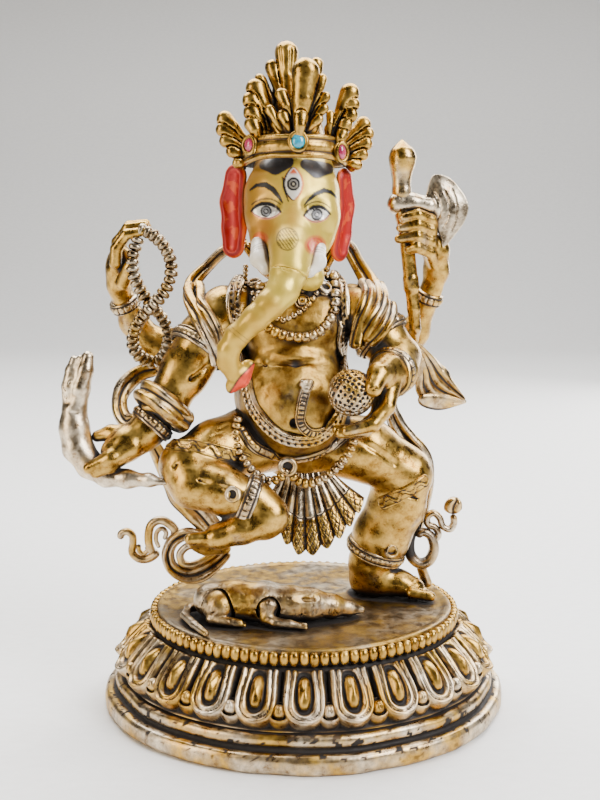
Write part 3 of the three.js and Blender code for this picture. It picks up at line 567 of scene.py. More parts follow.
class Clay:
    """A block of modelling clay: a distance field in millimetres, cast into a mesh when it is done.

    Heights are above the platform that the figure stands on."""

    def __init__(self, low, high, cell=0.42):
        self.cell = cell * quick_share
        self.low = np.array(low, float) - 3 * self.cell
        size = np.ceil((np.array(high) - self.low) / self.cell).astype(int) + 3
        self.field = np.full(size, 5.0, np.float32)

    def window(self, low, high):
        first = np.clip(np.floor((low - self.low) / self.cell).astype(int), 0, self.field.shape)
        last = np.clip(np.ceil((high - self.low) / self.cell).astype(int) + 1, 0, self.field.shape)
        here = tuple(slice(a, b) for a, b in zip(first, last))
        cells = (np.arange(first[i], last[i], dtype=np.float32) for i in range(3))
        x, y, z = (low + self.cell * steps for low, steps in zip(self.low, cells))
        return here, (x[:, None, None], y[None, :, None], z[None, None, :])

    def between(self, start, end, reach, flat=None):
        """The window round a tapered rod and the distance to it there; flat squeezes it along a direction."""
        a, b = np.array(start, float), np.array(end, float)
        grow = max(a[3], b[3]) + reach + 2 * self.cell
        here, (x, y, z) = self.window(np.minimum(a[:3], b[:3]) - grow, np.maximum(a[:3], b[:3]) + grow)
        rod = b[:3] - a[:3]
        length = max(float(rod @ rod), 1e-9)
        share = np.clip(((x - a[0]) * rod[0] + (y - a[1]) * rod[1] + (z - a[2]) * rod[2]) / length, 0, 1)
        dx, dy, dz = x - a[0] - share * rod[0], y - a[1] - share * rod[1], z - a[2] - share * rod[2]
        square = dx * dx + dy * dy + dz * dz
        if flat is not None:
            way = np.array(flat[:3], float)
            way /= np.linalg.norm(way)
            square = square + (flat[3] ** 2 - 1) * (dx * way[0] + dy * way[1] + dz * way[2]) ** 2
        return here, np.sqrt(square) - (a[3] + (b[3] - a[3]) * share)

    def rods(self, balls, soft=1.5, flat=None):
        """Adds a chain of tapered rods through (x, y, z, radius) balls, blended over `soft` millimetres."""
        balls = list(balls) if len(balls) > 1 else [balls[0], balls[0]]
        for start, end in zip(balls, balls[1:]):
            here, distance = self.between(start, end, soft, flat)
            old = self.field[here]
            share = np.clip(0.5 + 0.5 * (old - distance) / soft, 0, 1)
            self.field[here] = old + (distance - old) * share - soft * share * (1 - share)
        return self

    def carve(self, balls, soft=0.3, flat=None):
        """Presses a chain of rods into the clay."""
        balls = list(balls) if len(balls) > 1 else [balls[0], balls[0]]
        for start, end in zip(balls, balls[1:]):
            here, distance = self.between(start, end, soft, flat)
            old = self.field[here]
            share = np.clip(0.5 - 0.5 * (old + distance) / soft, 0, 1)
            self.field[here] = old - (distance + old) * share + soft * share * (1 - share)
        return self

    def cut_below(self, height):
        levels = self.low[2] + self.cell * np.arange(self.field.shape[2])
        self.field = np.maximum(self.field, (height - levels)[None, None, :].astype(np.float32))
        return self

    def depth(self, points):
        """The distance from each point to the clay, below zero inside it."""
        return sampled(self.field, self.low, self.cell, np.asarray(points, float))

    def outward(self, points):
        """The direction that the clay's surface faces near each point."""
        points = np.asarray(points, float)
        steps = np.eye(3) * self.cell
        slope = np.stack([self.depth(points + step) - self.depth(points - step) for step in steps], axis=1)
        return slope / np.maximum(np.linalg.norm(slope, axis=1, keepdims=True), 1e-6)

    def front(self, x, z):
        """How far forward (y) the clay reaches at each (x, z), or nothing (nan) beside it."""
        levels = np.arange(self.low[1], self.low[1] + self.cell * self.field.shape[1], self.cell * 0.5)
        grid = np.broadcast_arrays(np.asarray(x)[:, None], levels[None, :], np.asarray(z)[:, None])
        inside = self.depth(np.stack(grid, axis=2).reshape(-1, 3)).reshape(len(x), -1) < 0
        return np.where(inside.any(axis=1), levels[np.argmax(inside, axis=1)], np.nan)

    def cast(self):
        """The clay's surface as points and quads."""
        grid = openvdb.FloatGrid(5.0)
        grid.copyFromArray(np.ascontiguousarray(self.field))
        points, quads = grid.convertToQuads()
        points = points.astype(np.float64) * self.cell + self.low
        corners = points[quads]
        volume = np.einsum("ij,ij->i", corners[:, 0], np.cross(corners[:, 1], corners[:, 2])).sum()
        volume += np.einsum("ij,ij->i", corners[:, 0], np.cross(corners[:, 2], corners[:, 3])).sum()
        return points, quads[:, ::-1] if volume < 0 else quads


def above_platform(points):
    """Figure heights, above the platform, as heights above the table."""
    return np.asarray(points, float) + [0, 0, table_of_platform]


def cast_piece(name, clay, nodes, material, shape=None):
    """Casts the clay, lets `shape` move the points, and adds the finished piece."""
    points, quads = clay.cast()
    if shape is not None:
        points = shape(points)
    return add_piece(name, new_mesh(name, above_platform(points), [quads]), nodes, material)


torso = Clay((-30, -25, 36), (26, 20, 106), 0.48)
torso.rods([(-2, 3, 50, 12.5), (-3.5, -2, 64, 16.5)], 4)
torso.rods([(-3.5, -2, 64, 16.3), (-3.2, -5.5, 61.5, 15.6)], 3)
torso.rods([(-3.2, -3.5, 66, 15.8), (-3, -0.5, 77, 13)], 3)
torso.rods([(-9, 0.5, 86, 10.5), (3.5, 0.5, 86, 10.5)], 4)
torso.rods([(-9.5, 1, 87, 10), (-18, 3, 91, 6.8)], 4).rods([(4, 1, 87, 10), (14, 3, 90.5, 6.8)], 4)
torso.rods([(-2.5, 1, 90, 8), (-2, 0, 103, 6.6)], 4)
torso.rods([(-8.5, -5.5, 84, 6), (-6, -5.5, 84.5, 6)], 3).rods([(3, -5.5, 84, 6), (1, -5.5, 84.5, 6)], 3)
torso.carve([
    (-16, -10, 79.5, 0.7), (-9, -14.6, 76.6, 0.8), (-2.5, -15.2, 75.6, 0.8), (5, -14, 76.6, 0.8),
    (11, -9.5, 79, 0.7),
], 1.4)
torso.carve([(-14, -11.5, 76, 0.4), (-8, -15.2, 73.4, 0.5), (0, -16.2, 72.8, 0.4)], 0.9)
torso.carve([(-2.8, -20.2, 59.5, 1.2)], 1.2)
torso.carve([(-2.6, 14, 55, 0.5), (-2.6, 13.5, 70, 0.6), (-2.6, 11.5, 84, 0.5), (-2.4, 8, 97, 0.3)], 2.5)
torso.rods([(-10, 7, 86, 5.4), (-7, 8.5, 80, 4)], 3).rods([(5, 7, 86, 5.4), (2, 8.5, 80, 4)], 3)


def unevenness(size, height, seed):
    def shape(points):
        middle = points.mean(axis=0)
        outward = points - middle
        outward /= np.maximum(np.linalg.norm(outward, axis=1, keepdims=True), 1)
        return points + outward * (waves(points, size, seed) * height)[:, None]

    return shape


torso_metal = aged_metal("torso_gilding", 0.78, 0.8, 0.36, 0.3)
cast_piece("torso_casting", torso, ["torso"], torso_metal, unevenness(9, 0.22, 21))

# ---- Standing leg ----
# The left leg, bent over the platform, in tight cloth whose chased hem crosses the knee. It is cast with its
# foot, and a tenon under the heel goes down through the platform.
standing = Clay((-10, -16, -1), (44, 20, 64), 0.48)
standing.rods([(4, 1, 50, 10.2), (18, 1, 47.5, 9.4), (30.5, 3, 40, 8.2)], 3)
standing.rods([(30.5, 3.5, 38, 8.3), (28.5, 4.5, 29, 8.4), (24, 5.5, 19, 8.4), (21.2, 6.5, 11, 7.2)], 3)
standing.rods([(21, 7, 8, 6.6), (20.5, 8, 4.5, 5.8), (24, 5.5, 4.6, 5.2)], 2)
standing.rods([(22, 6, 5.2, 5.2), (29.5, 4.6, 4.2, 4.4), (34, 3.2, 3.0, 3.6)], 2, flat=(0, 0, 1, 1.15))
for toe, (side, reach) in enumerate([(-3.6, 39.0), (-1.5, 38.8), (0.3, 38.0), (1.9, 36.8), (3.3, 35.4)]):
    size = 1.75 if toe == 0 else 1.35
    standing.rods([(33, 3.2 + side, 2.6, size), (reach, 2.2 + side, 1.7, size * 0.86)], 0.5)
standing.cut_below(0.35)
standing.carve([(12, -9.4, 55, 0.4), (20, -8.6, 50, 0.45), (27, -6.2, 44.5, 0.4)], 1.4)
standing.carve([(22, -8.4, 41, 0.4), (28, -6.5, 36, 0.4), (34, -2.5, 33, 0.3)], 1.0)
cloth_metal = aged_metal("limb_gilding", 0.8, 0.95, 0.27, 0.1)
cast_piece("standing_leg_casting", standing, ["standing_leg"], cloth_metal, unevenness(11, 0.16, 31))

# ---- Raised leg ----
# The right leg is drawn up and folded across, the foot hanging over the mouse. Its cloth ends at the knee in
# a raised hem with a chased scroll border.
raised = Clay((-46, -36, 20), (6, 14, 66), 0.48)
raised.rods([(-8, 0, 51.5, 10.5), (-16, -6, 51.5, 9.6), (-25, -12.5, 50, 8.8), (-33, -19, 47.5, 7.4)], 3)
raised.rods([(-33.5, -19.5, 46.5, 7.3), (-31, -22.5, 42.8, 6.8), (-23, -24.5, 41, 6.5),
    (-14, -24.5, 38, 5.4)], 3)
raised.rods([(-14, -24.5, 38, 5.3), (-10, -25.5, 34.5, 5.0), (-11, -26.5, 32, 4.6)], 2.5)
raised.rods([(-10, -26, 33.5, 4.6), (-17, -27.8, 31, 4.4), (-24, -28.3, 28.8, 3.9)], 2,
    flat=(0.25, -0.5, 0.85, 1.12))
toe_tips = [
    (-31.6, -30.0, 28.6, 1.75), (-31.2, -28.6, 26.8, 1.4), (-30.4, -27.6, 25.4, 1.3),
    (-29.4, -26.8, 24.4, 1.2), (-28.2, -26.2, 23.6, 1.1),
]
for toe, (x, y, z, size) in enumerate(toe_tips):
    raised.rods([(-25 + toe * 0.8, -28.8 + toe * 0.6, 28.6 - toe * 1.0, size * 1.15), (x, y, z, size)], 0.7)
raised.carve([(-32.5, -27.2, 45.6, 0.3), (-25, -31.2, 44.4, 0.4), (-16, -30.4, 41.2, 0.3)], 0.8)
raised.carve([(-36, -26.5, 48, 0.3), (-29, -22.5, 55.5, 0.4), (-18, -13, 60.2, 0.3)], 1.0)
cast_piece("raised_leg_casting", raised, ["raised_leg"], cloth_metal, unevenness(11, 0.16, 32))

# ---- Arms and hands ----
# Four separately cast arms, pegged and soldered at the shoulders. The front pair are stout; the rear pair
# rise behind them. Fingers are short, full and set close, and each hand closes on what it holds.
arm_metal = aged_metal("arm_gilding", 0.8, 0.95, 0.26, 0.1)
front_right = Clay((-66, -28, 42), (-8, 10, 100), 0.44)
front_right.rods([(-17, 1, 90, 6.8), (-23, -2, 89, 7.4), (-29, -6, 81.5, 7.6), (-34.5, -9, 72.5, 7.0)], 3)
front_right.rods([(-34.5, -9, 73, 6.9), (-40, -12, 63.5, 6.0), (-44.5, -14, 57, 4.9), (-47, -15, 54.5, 4.5)],
    2.5)
front_right.rods([(-46, -15, 55.5, 4.6), (-51, -17, 52.5, 4.6), (-54, -18.5, 51, 3.9)], 2)
front_right.rods([(-49, -19, 52, 3.0), (-54.5, -22, 49.5, 2.5), (-60.5, -22.5, 47.0, 1.75)], 1.2)
front_right.rods([(-50, -18, 51, 2.8), (-55, -21.5, 47.4, 2.2), (-59, -21.8, 45.4, 1.6)], 0.8)
front_right.rods([(-50, -15, 55.5, 2.8), (-55.5, -14.5, 55.5, 2.3), (-59.5, -14.5, 54.5, 1.7)], 1.0)
front_right.carve([(-27, -13.4, 75.2, 0.4), (-32, -15.6, 71.5, 0.5), (-38, -13.5, 68.6, 0.4)], 0.9)
cast_piece("right_front_arm_casting", front_right, ["right_front_arm"], arm_metal, unevenness(10, 0.14, 41))

rear_right = Clay((-62, -8, 68), (-10, 22, 120), 0.44)
rear_right.rods([(-16, 7, 90, 6.2), (-24, 9, 87.5, 6), (-34, 12, 79, 5.6), (-42, 13.5, 76.5, 5.2)], 3)
rear_right.rods([(-42, 13.5, 76.5, 5.2), (-48, 13, 79, 4.6), (-52, 11, 85, 3.9), (-54.5, 8, 92, 3.2)], 3)
rear_right.rods([(-54.5, 8, 92, 3.4), (-55.4, 6, 97, 4.3), (-55.0, 5, 102, 4.6), (-54.4, 4, 104.5, 4.3)], 2,
    flat=(1, -0.2, 0, 1.25))
for finger in range(4):
    deep, lift = 8.2 - finger * 2.9, (0.2, 1.2, 0.6, -1.2)[finger]
    rear_right.rods([(-55.2, deep - 0.4, 103.5, 1.9), (-54.8, deep - 1, 108.8 + lift, 1.75),
        (-51.6, deep - 1.6, 113 + lift, 1.6), (-46.6, deep - 2, 113.8 + lift, 1.25)], 0.35)
rear_right.rods([(-53.6, 1.5, 97.5, 2.2), (-51, -1.6, 102, 1.9), (-49.6, -2.4, 106, 1.5)], 0.7)
cast_piece("right_rear_arm_casting", rear_right, ["right_rear_arm"], arm_metal, unevenness(10, 0.12, 42))

rear_left = Clay((8, -9, 68), (46, 20, 122), 0.44)
rear_left.rods([(12, 7, 90, 6.2), (19, 9, 87, 5.8), (26, 12, 81, 5.3), (31, 13, 77, 4.8)], 3)
rear_left.rods([(31, 13, 77, 4.8), (34, 11, 82, 4.0), (36.5, 8.5, 90, 3.0), (38.2, 7, 95, 3.0)], 2.5)
rear_left.rods([(38.2, 7, 95, 3.0), (39.6, 6, 101, 3.9), (39.2, 4, 107, 3.8), (37.5, 2.5, 110.5, 3.2)], 2,
    flat=(0.8, 0.6, 0, 1.15))
for finger, (rise, reach) in enumerate([(117.2, 28.6), (114.2, 27.8), (111.0, 27.4), (107.9, 30.4)]):
    rear_left.rods([(38.4, 2.6, rise - 4.6, 1.95), (36.6, -1.4, rise - 1.2, 1.85),
        (32.6, -3.9, rise + 0.2, 1.7), (reach, -3.4, rise - 0.6, 1.35)], 0.35)
rear_left.rods([(37.8, 7, 106, 2.4), (34, 5.2, 111.5, 2.0), (29.2, 3.8, 114, 1.5)], 0.8)
cast_piece("left_rear_arm_casting", rear_left, ["left_rear_arm"], arm_metal, unevenness(10, 0.12, 43))

front_left = Clay((6, -33, 52), (36, 9, 98), 0.38)
front_left.rods([(13, 0, 89.5, 6.8), (17, -2, 88.5, 7), (22, -5, 83, 6.9), (27, -8, 76.5, 6.5)], 3)
front_left.rods([(27.2, -8.5, 76, 6.4), (26.5, -13, 73.2, 5.9), (23.5, -18, 73.2, 5.0)], 2.5)
front_left.rods([(23.5, -18, 73.4, 5.0), (21.5, -22, 73, 4.4)], 2)
front_left.rods([(23.5, -19.5, 75.5, 3.9), (20.4, -25.4, 74.2, 3.1), (18.6, -29.0, 70.8, 2.6)], 1.2)
front_left.rods([(23.8, -21, 70.5, 3.4), (22.8, -25.5, 65.0, 2.4), (18.8, -28.4, 60.6, 2.0),
    (11.6, -29.6, 59.0, 1.6)], 0.6)
front_left.rods([(23.4, -19, 69.5, 3.0), (21.8, -22.5, 62.6, 2.2), (16.8, -24.8, 58.2, 1.9),
    (9.8, -25.6, 57.6, 1.5)], 0.5)
front_left.rods([(22.6, -17, 69.5, 2.8), (20.6, -18.8, 61.5, 2.1), (15.6, -20.6, 57.4, 1.8),
    (9.2, -21.4, 57.8, 1.4)], 0.5)
front_left.carve([(19.4, -31.2, 71.2, 0.25), (18.0, -31.6, 70.4, 0.25), (17.0, -31.3, 69.0, 0.25)], 0.2)
cast_piece("left_front_arm_casting", front_left, ["left_front_arm"], arm_metal, unevenness(10, 0.12, 44))

# ---- Head and trunk ----
# A broad elephant's head with a domed brow and full cheeks, cast with its short neck and lower lip. The trunk
# is cast apart and joined under a ring line. Both are painted: matt gold, fine black brows and lids, white
# eyes, a third eye upright on the brow, and a red mouth at the trunk's tip.
head = Clay((-27, -36, 66), (14, 19, 142), 0.3)
head.rods([(-2.4, 0, 104, 7.0), (-3.2, 3, 120, 12.2)], 3)
head.rods([(-3.2, 4, 121, 12.6), (-3.6, -2, 121, 13.0)], 3)
head.rods([(-3.6, -2, 121, 13.0), (-3, 1, 128, 12)], 3)
head.rods([(-3.4, -6, 125.5, 9.3), (-3.6, -8, 119, 8.5)], 4)
head.rods([(-9, -7.2, 124, 7.2), (-9.6, -9.6, 117, 6.4), (-9.9, -10.4, 112, 5.4)], 3)
head.rods([(2.2, -7.2, 124, 7.2), (3.2, -9.6, 117, 6.2), (3.4, -10.4, 111.5, 5.2)], 3)
head.rods([(-3.4, -10, 120, 7), (-3.5, -13.5, 114.5, 6.6), (-3.5, -16.5, 110.5, 6.3)], 4)
head.rods([(-3, -7, 108, 6.5), (0.6, -9.5, 101.5, 4.4), (2.0, -11.5, 99.5, 3.3)], 3)
head.rods([(-11.6, -13.0, 110.2, 3.4)], 2).rods([(3.6, -13.2, 109.2, 3.4)], 2)
for middle in (-10.4, 3.4):
    head.carve([(middle - 1.6, -17.6, 119.4, 1.5), (middle + 1.6, -17.6, 119.4, 1.5)], 3.0)
    head.rods([(middle - 1.5, -13.4, 118.0, 2.2), (middle + 1.5, -13.4, 118.0, 2.2)], 1.5)
head.rods([(-3.5, -17, 110.5, 6.2), (-3.7, -22, 107, 5.2), (-4.0, -25.2, 102.5, 4.6),
    (-6.0, -28.2, 97, 4.25)], 3)
head.rods([(-6.0, -28.2, 97, 4.25), (-9.2, -30, 93.6, 3.75), (-13, -31, 90, 3.45),
    (-18.2, -31.5, 85.2, 3.15)], 1.4)
head.rods([(-18.2, -31.5, 85.2, 3.15), (-20.4, -31, 81.6, 2.95), (-20.7, -30.3, 78, 2.75),
    (-19.2, -29.6, 75, 2.55)], 1.2)
mouth, lips = np.array([-16.6, -28.6, 73.2]), np.array([0.62, 0.0, 0.785])
mouth_way = np.array([0.76, -0.22, -0.61]) / np.linalg.norm([0.76, -0.22, -0.61])
flare, brim, bore = mouth - mouth_way * 1.6, mouth - mouth_way, mouth + mouth_way * 1.3
neck, throat = mouth - mouth_way * 1.4, mouth + mouth_way * 1.5
head.rods([(*(flare + lips * 3.6), 1.5), (*neck, 2.9), (*(flare - lips * 3.4), 1.6)], 1.2)
head.rods([(*(brim + lips * 4.4), 1.1), (*(mouth - lips * 0.3), 2.2), (*(brim - lips * 4.4), 1.15)], 0.8)
head.carve([(*(bore + lips * 2.8), 0.5), (*throat, 1.5), (*(bore - lips * 2.8), 0.5)], 0.5)
head.carve([(-8.6, -29.5, 104, 0.2), (-3.0, -31, 102.4, 0.2)], 0.2)
head.carve([(-8.9, -30.5, 102.9, 0.2), (-3.0, -31.8, 101.2, 0.2)], 0.2)

seam_point, seam_way = np.array([-4.6, -26, 101.4]), np.array([-2, -3.5, -7]) / np.linalg.norm([2, 3.5, 7])
corner = [head.low[i] + head.cell * np.arange(head.field.shape[i]) for i in range(3)]
past_x, past_y, past_z = ((corner[i] - seam_point[i]) * seam_way[i] for i in range(3))
past_seam = (past_x[:, None, None] + past_y[None, :, None] + past_z[None, None, :]).astype(np.float32)
trunk = Clay((0, 0, 0), (1, 1, 1), head.cell / quick_share)
trunk.low, trunk.field = head.low, np.maximum(head.field, -past_seam + 0.03)
head.field = np.maximum(head.field, past_seam + 0.03)


def brush(colours, paint, cover):
    """Lays a paint over the colours, as thickly as `cover` says from 0 to 1."""
    colours += (np.array(paint) - colours) * np.clip(cover, 0, 1)[:, None]


def within(gap, edge, soft):
    """1 where the gap is past the edge, 0 before it, with a soft brush edge between."""
    return np.clip((gap - edge) / soft, 0, 1)


def near_line(x, z, line, soft=0.16):
    """How far inside a brush stroke each point is: line is (x, z, half width) stations."""
    inside = np.full(len(x), -9.0)
    for (x0, z0, w0), (x1, z1, w1) in zip(line, line[1:]):
        run = (x1 - x0) ** 2 + (z1 - z0) ** 2
        share = np.clip(((x - x0) * (x1 - x0) + (z - z0) * (z1 - z0)) / run, 0, 1)
        gap = np.hypot(x - x0 - share * (x1 - x0), z - z0 - share * (z1 - z0))
        inside = np.maximum(inside, w0 + (w1 - w0) * share - gap)
    return np.clip(inside / soft + 0.5, 0, 1)


def add_colours(mesh, name, colours):
    data = mesh.color_attributes.new(name, "FLOAT_COLOR", "POINT").data
    opaque = np.concatenate([colours, np.ones((len(colours), 1))], axis=1)
    data.foreach_set("color", opaque.astype(np.float32).ravel())


def painted(name, rough, metallic, clear=0.0):
    """Brushed paint over metal, its colours laid on in the mesh attribute `paint`."""
    material = bpy.data.materials.new(name)
    add = node_maker(material)
    place = add("ShaderNodeTexCoord").outputs["Object"]
    colour = add("ShaderNodeAttribute", attribute_name="paint").outputs["Color"]
    hollow = add("ShaderNodeAttribute", attribute_name="hollow").outputs["Fac"]
    fine = add("ShaderNodeTexNoise", {"Vector": place, "Scale": 1400.0, "Detail": 4.0}).outputs[0]
    broad = add("ShaderNodeTexNoise", {"Vector": place, "Scale": 260.0, "Detail": 4.0}).outputs[0]
    shade = add("ShaderNodeMix", {
        0: ramp(add, broad, [(0.35, 0.0), (0.7, 0.45)]), 6: colour, 7: (0.75, 0.6, 0.3, 1),
    }, data_type="RGBA", blend_type="MULTIPLY").outputs[2]
    # Grime and painted shade: the paint goes dark brown where `hollow` is high, in hollows and between parts.
    grime_and_shade = add("ShaderNodeMix", {
        0: ramp(add, hollow, [(0.35, 0.0), (0.95, 0.8)]), 6: shade, 7: (0.06, 0.025, 0.01, 1),
    }, data_type="RGBA").outputs[2]
    bump = add("ShaderNodeBump", {"Strength": 0.12, "Distance": 0.0002, "Height": fine}).outputs[0]
    roughness = add("ShaderNodeMapRange",
        {0: broad, 1: 0.3, 2: 0.7, 3: rough - 0.06, 4: rough + 0.1}).outputs[0]
    shader = add("ShaderNodeBsdfPrincipled", {
        "Base Color": grime_and_shade, "Roughness": roughness, "Metallic": metallic, "Normal": bump,
        "Coat Weight": clear, "Coat Roughness": 0.25,
    })
    add("ShaderNodeOutputMaterial", {0: shader.outputs[0]})
    return material


gold_paint = (0.64, 0.475, 0.06)
face_paint = painted("painted_gold", 0.34, 0.5)


def face_colours(points):
    x, y, z = points.T
    ahead = y < -3
    colours = np.tile(gold_paint, (len(points), 1))
    # Painted shade: the lower face towards the statue's right side goes orange-brown, and orange-brown shade
    # is painted below the right eye and in the hollow between the eyes.
    brush(colours, (0.42, 0.19, 0.015), 0.85 * step_between(-x, 3, 14) * step_between(z, 96, 112))
    brush(colours, (0.5, 0.2, 0.02), 0.7 * ridge(np.hypot(x + 10.5, (z - 114.2) / 0.8), 0, 3.4))
    brush(colours, (0.55, 0.25, 0.03), 0.5 * ridge(np.hypot((x + 3.4) / 0.8, (z - 117) / 1.6), 0, 3.0))
    white, black, pink = (0.83, 0.8, 0.74), (0.012, 0.011, 0.012), (0.78, 0.3, 0.2)
    right_eye, left_eye = (-10.6, 118.2, 4.0, 2.25, -0.03, 1.55), (3.5, 117.3, 3.5, 2.3, 0.06, 1.6)
    for middle, level, wide, tall, slope, iris in (right_eye, left_eye):
        side, up = x - middle, z - level - slope * (x - middle)
        bow = np.clip(1 - (side / wide) ** 2, 0, 1) ** 0.85
        gap = np.minimum(tall * bow - up, up + tall * 0.78 * bow) - 4 * np.clip(np.abs(side) - wide, 0, 9)
        brush(colours, pink, ahead * within(gap, -0.5, 0.2))
        brush(colours, white, ahead * within(gap, 0.1, 0.16))
        ball = np.hypot(side, up - 0.1)
        opened = ahead * within(gap, 0.05, 0.12)
        brush(colours, (0.012, 0.012, 0.014), opened * np.clip((iris * 1.08 - ball) / 0.14, 0, 1))
        brush(colours, (0.22, 0.22, 0.23), opened * np.clip((iris * 0.8 - ball) / 0.14, 0, 1))
        brush(colours, black, opened * np.clip((iris * 0.5 - ball) / 0.12, 0, 1))
        # Painted highlight: a grey dot in the middle of each pupil.
        brush(colours, (0.42, 0.42, 0.42), opened * np.clip((iris * 0.28 - ball) / 0.12, 0, 1))
        steps = np.linspace(-1, 1, 13)
        arch = [max(1 - t * t, 0) for t in steps]
        lid = [
            (middle + wide * 1.04 * t, level + slope * wide * t + tall * a**0.85, 0.3 + 0.26 * (1 - t * t))
            for t, a in zip(steps, arch)
        ]
        brush(colours, black, ahead * near_line(x, z, lid))
        crease = [
            (middle + wide * 1.2 * t, level + 1.0 + tall * 1.15 * a**0.8, 0.2)
            for t, a in zip(steps[1:-1], arch[1:-1])
        ]
        brush(colours, (0.03, 0.02, 0.015), 0.9 * ahead * near_line(x, z, crease))
        lower = [
            (middle + wide * t, level + slope * wide * t - tall * 0.8 * a**0.85, 0.14)
            for t, a in zip(steps, arch)
        ]
        brush(colours, (0.12, 0.05, 0.03), 0.85 * ahead * near_line(x, z, lower))
    for brow in (
        [(-15.2, 124.2, 0.25), (-13.2, 125.5, 0.55), (-10.8, 125.6, 0.8), (-8.6, 124.2, 0.75),
         (-7.0, 122.2, 0.55), (-6.0, 120.6, 0.2)],
        [(9.0, 122.2, 0.3), (7.4, 123.6, 0.55), (5.4, 124.0, 0.75), (3.0, 123.0, 0.65), (1.2, 121.4, 0.45),
         (-0.1, 119.9, 0.15)],
    ):
        brush(colours, black, ahead * near_line(x, z, brow))
    side, up = x + 3.0, z - 125.8
    bow = np.clip(1 - (up / 4.5) ** 2, 0, 1) ** 0.9
    upright = 2.3 * bow - np.abs(side) - 4 * np.clip(np.abs(up) - 4.5, 0, 9)
    brush(colours, (0.62, 0.2, 0.05), ahead * within(upright, -0.75, 0.25) * (z > 121))
    brush(colours, black, ahead * within(upright, -0.6, 0.2) * (side < 0.2))
    brush(colours, white, ahead * within(upright, -0.05, 0.16))
    brush(colours, (0.72, 0.12, 0.04), ahead * within(upright, 0.2, 0.3) * step_between(up, 2.2, 3.2))
    ball = np.hypot(side, up + 0.1)
    grey, glint = (0.3, 0.28, 0.25), (0.45, 0.4, 0.3)
    for radius, shade in ((1.95, black), (1.35, grey), (0.95, black), (0.45, glint)):
        brush(colours, shade, ahead * np.clip((radius - ball) / 0.16, 0, 1))
    brush(colours, black, ahead * near_line(x, z,
        [(-6.0, 127.5, 0.2), (-5.6, 124.5, 0.28), (-4.4, 121.0, 0.18)]))
    right_cheek, left_cheek = (-12.1, 110.9, 2.2, (0.5, 0.05, 0.01)), (3.0, 109.2, 3.0, (0.6, 0.035, 0.03))
    for cheek_x, cheek_z, radius, shade in (right_cheek, left_cheek):
        spot = np.hypot(x - cheek_x, (z - cheek_z) / 0.85)
        rouge = (y < -8) * step_between(radius - spot, -0.5, 0.7)
        brush(colours, shade, rouge * (0.8 + 0.2 * np.sin(spot * 7)))
    circle = np.hypot(x + 4.6, z - 110.9)
    hatch = np.abs(np.sin((x * 0.8 + z * 0.6) * 4.4)) > 0.82
    fine_ink = (0.05, 0.03, 0.012)
    brush(colours, fine_ink, 0.95 * (y < -14) * np.clip(1 - np.abs(circle - 2.9) / 0.28, 0, 1))
    brush(colours, fine_ink, 0.85 * (y < -14) * (circle < 2.7) * hatch)
    for lowest, patch in (
        (127, [(-11.2, 131.2, 1.5), (-8.0, 130.6, 2.4), (-4.8, 131.8, 1.9)]),
        (126, [(0.4, 131.2, 1.6), (3.6, 129.8, 2.6), (6.6, 130.2, 1.8)]),
    ):
        brush(colours, (0.03, 0.028, 0.03), (y < 2) * (z > lowest) * near_line(x, z, patch, 0.3))
    return colours


def trunk_colours(points):
    x, y, z = points.T
    colours = np.tile(gold_paint, (len(points), 1))
    # Painted shade: the trunk is darkened to orange-brown by half from its bend down, where it swings towards
    # the statue's right.
    brush(colours, (0.42, 0.2, 0.015), 0.5 * step_between(-x - 0.8 * z, -70.5, -66.5))
    along = points @ (np.array([-0.62, -0.05, -0.78]))
    for level in (-82.2, -81.2, -54.9, -53.9):
        brush(colours, (0.1, 0.06, 0.02), 0.8 * np.clip(1 - np.abs(along - level) / 0.16, 0, 1))
    off_line = np.abs(x - y * 0.2 + 0.8 * z - 86.4 + waves(points, 9, 3) * 0.7)
    dots = (np.abs(np.sin(along * 3.6)) > 0.93) * (off_line < 0.25)
    brush(colours, (0.2, 0.12, 0.03), 0.7 * dots * (along > -80) * (along < -57))
    open_face = (points - mouth) @ mouth_way
    reach = np.linalg.norm(points - mouth, axis=1)
    brush(colours, (0.02, 0.015, 0.012), (reach < 6.4) * step_between(open_face, -0.9, -0.55))
    brush(colours, (0.66, 0.055, 0.02), (reach < 6.4) * step_between(open_face, -0.45, -0.15))
    return colours


for name, clay, nodes, colouring in (
    ("head_casting", head, ["head"], face_colours), ("trunk_casting", trunk, ["trunk"], trunk_colours),
):
    points, quads = clay.cast()
    points = unevenness(8, 0.07, 51)(points)
    mesh = new_mesh(name, above_platform(points), [quads])
    add_colours(mesh, "paint", colouring(points))
    add_piece(name, mesh, nodes, face_paint)

# ---- Tusks ----
# Two short blunt tusks, pegged in beside the trunk and painted white with fine black rings.
tusk_paint = painted("painted_ivory", 0.32, 0.0, 0.3)
for side, root, tip in (
    ("right", (-12.4, -15, 109.2), (-10.6, -21.6, 102.8)), ("left", (3.6, -15, 108.4), (1.4, -21.4, 102.0)),
):
    tusk = Clay(np.minimum(root, tip) - 4, np.maximum(root, tip) + 4, 0.22)
    bend = (np.array(root) + tip) / 2 + [0.9 if side == "left" else -0.9, -1.2, -0.6]
    tusk.rods([(*root, 2.5), (*bend, 2.45), (*tip, 1.75)], 1.2)
    points, quads = tusk.cast()
    axis = (np.array(tip) - root) / np.linalg.norm(np.array(tip) - root)
    along = (points - root) @ axis
    colours = np.tile((0.82, 0.79, 0.72), (len(points), 1))
    for level in (2.2, 3.3, 4.3):
        tilted = along + 0.25 * (points[:, 0] - root[0])
        brush(colours, (0.04, 0.035, 0.03), 0.85 * np.clip(1 - np.abs(tilted - level) / 0.2, 0, 1))
    brush(colours, (0.4, 0.28, 0.12), 0.5 * step_between(-along, -1.4, 0.2))
    mesh = new_mesh(side + "_tusk", above_platform(points), [quads])
    add_colours(mesh, "paint", colours)
    add_piece(side + "_tusk_cast", mesh, [side + "_tusk"], tusk_paint)

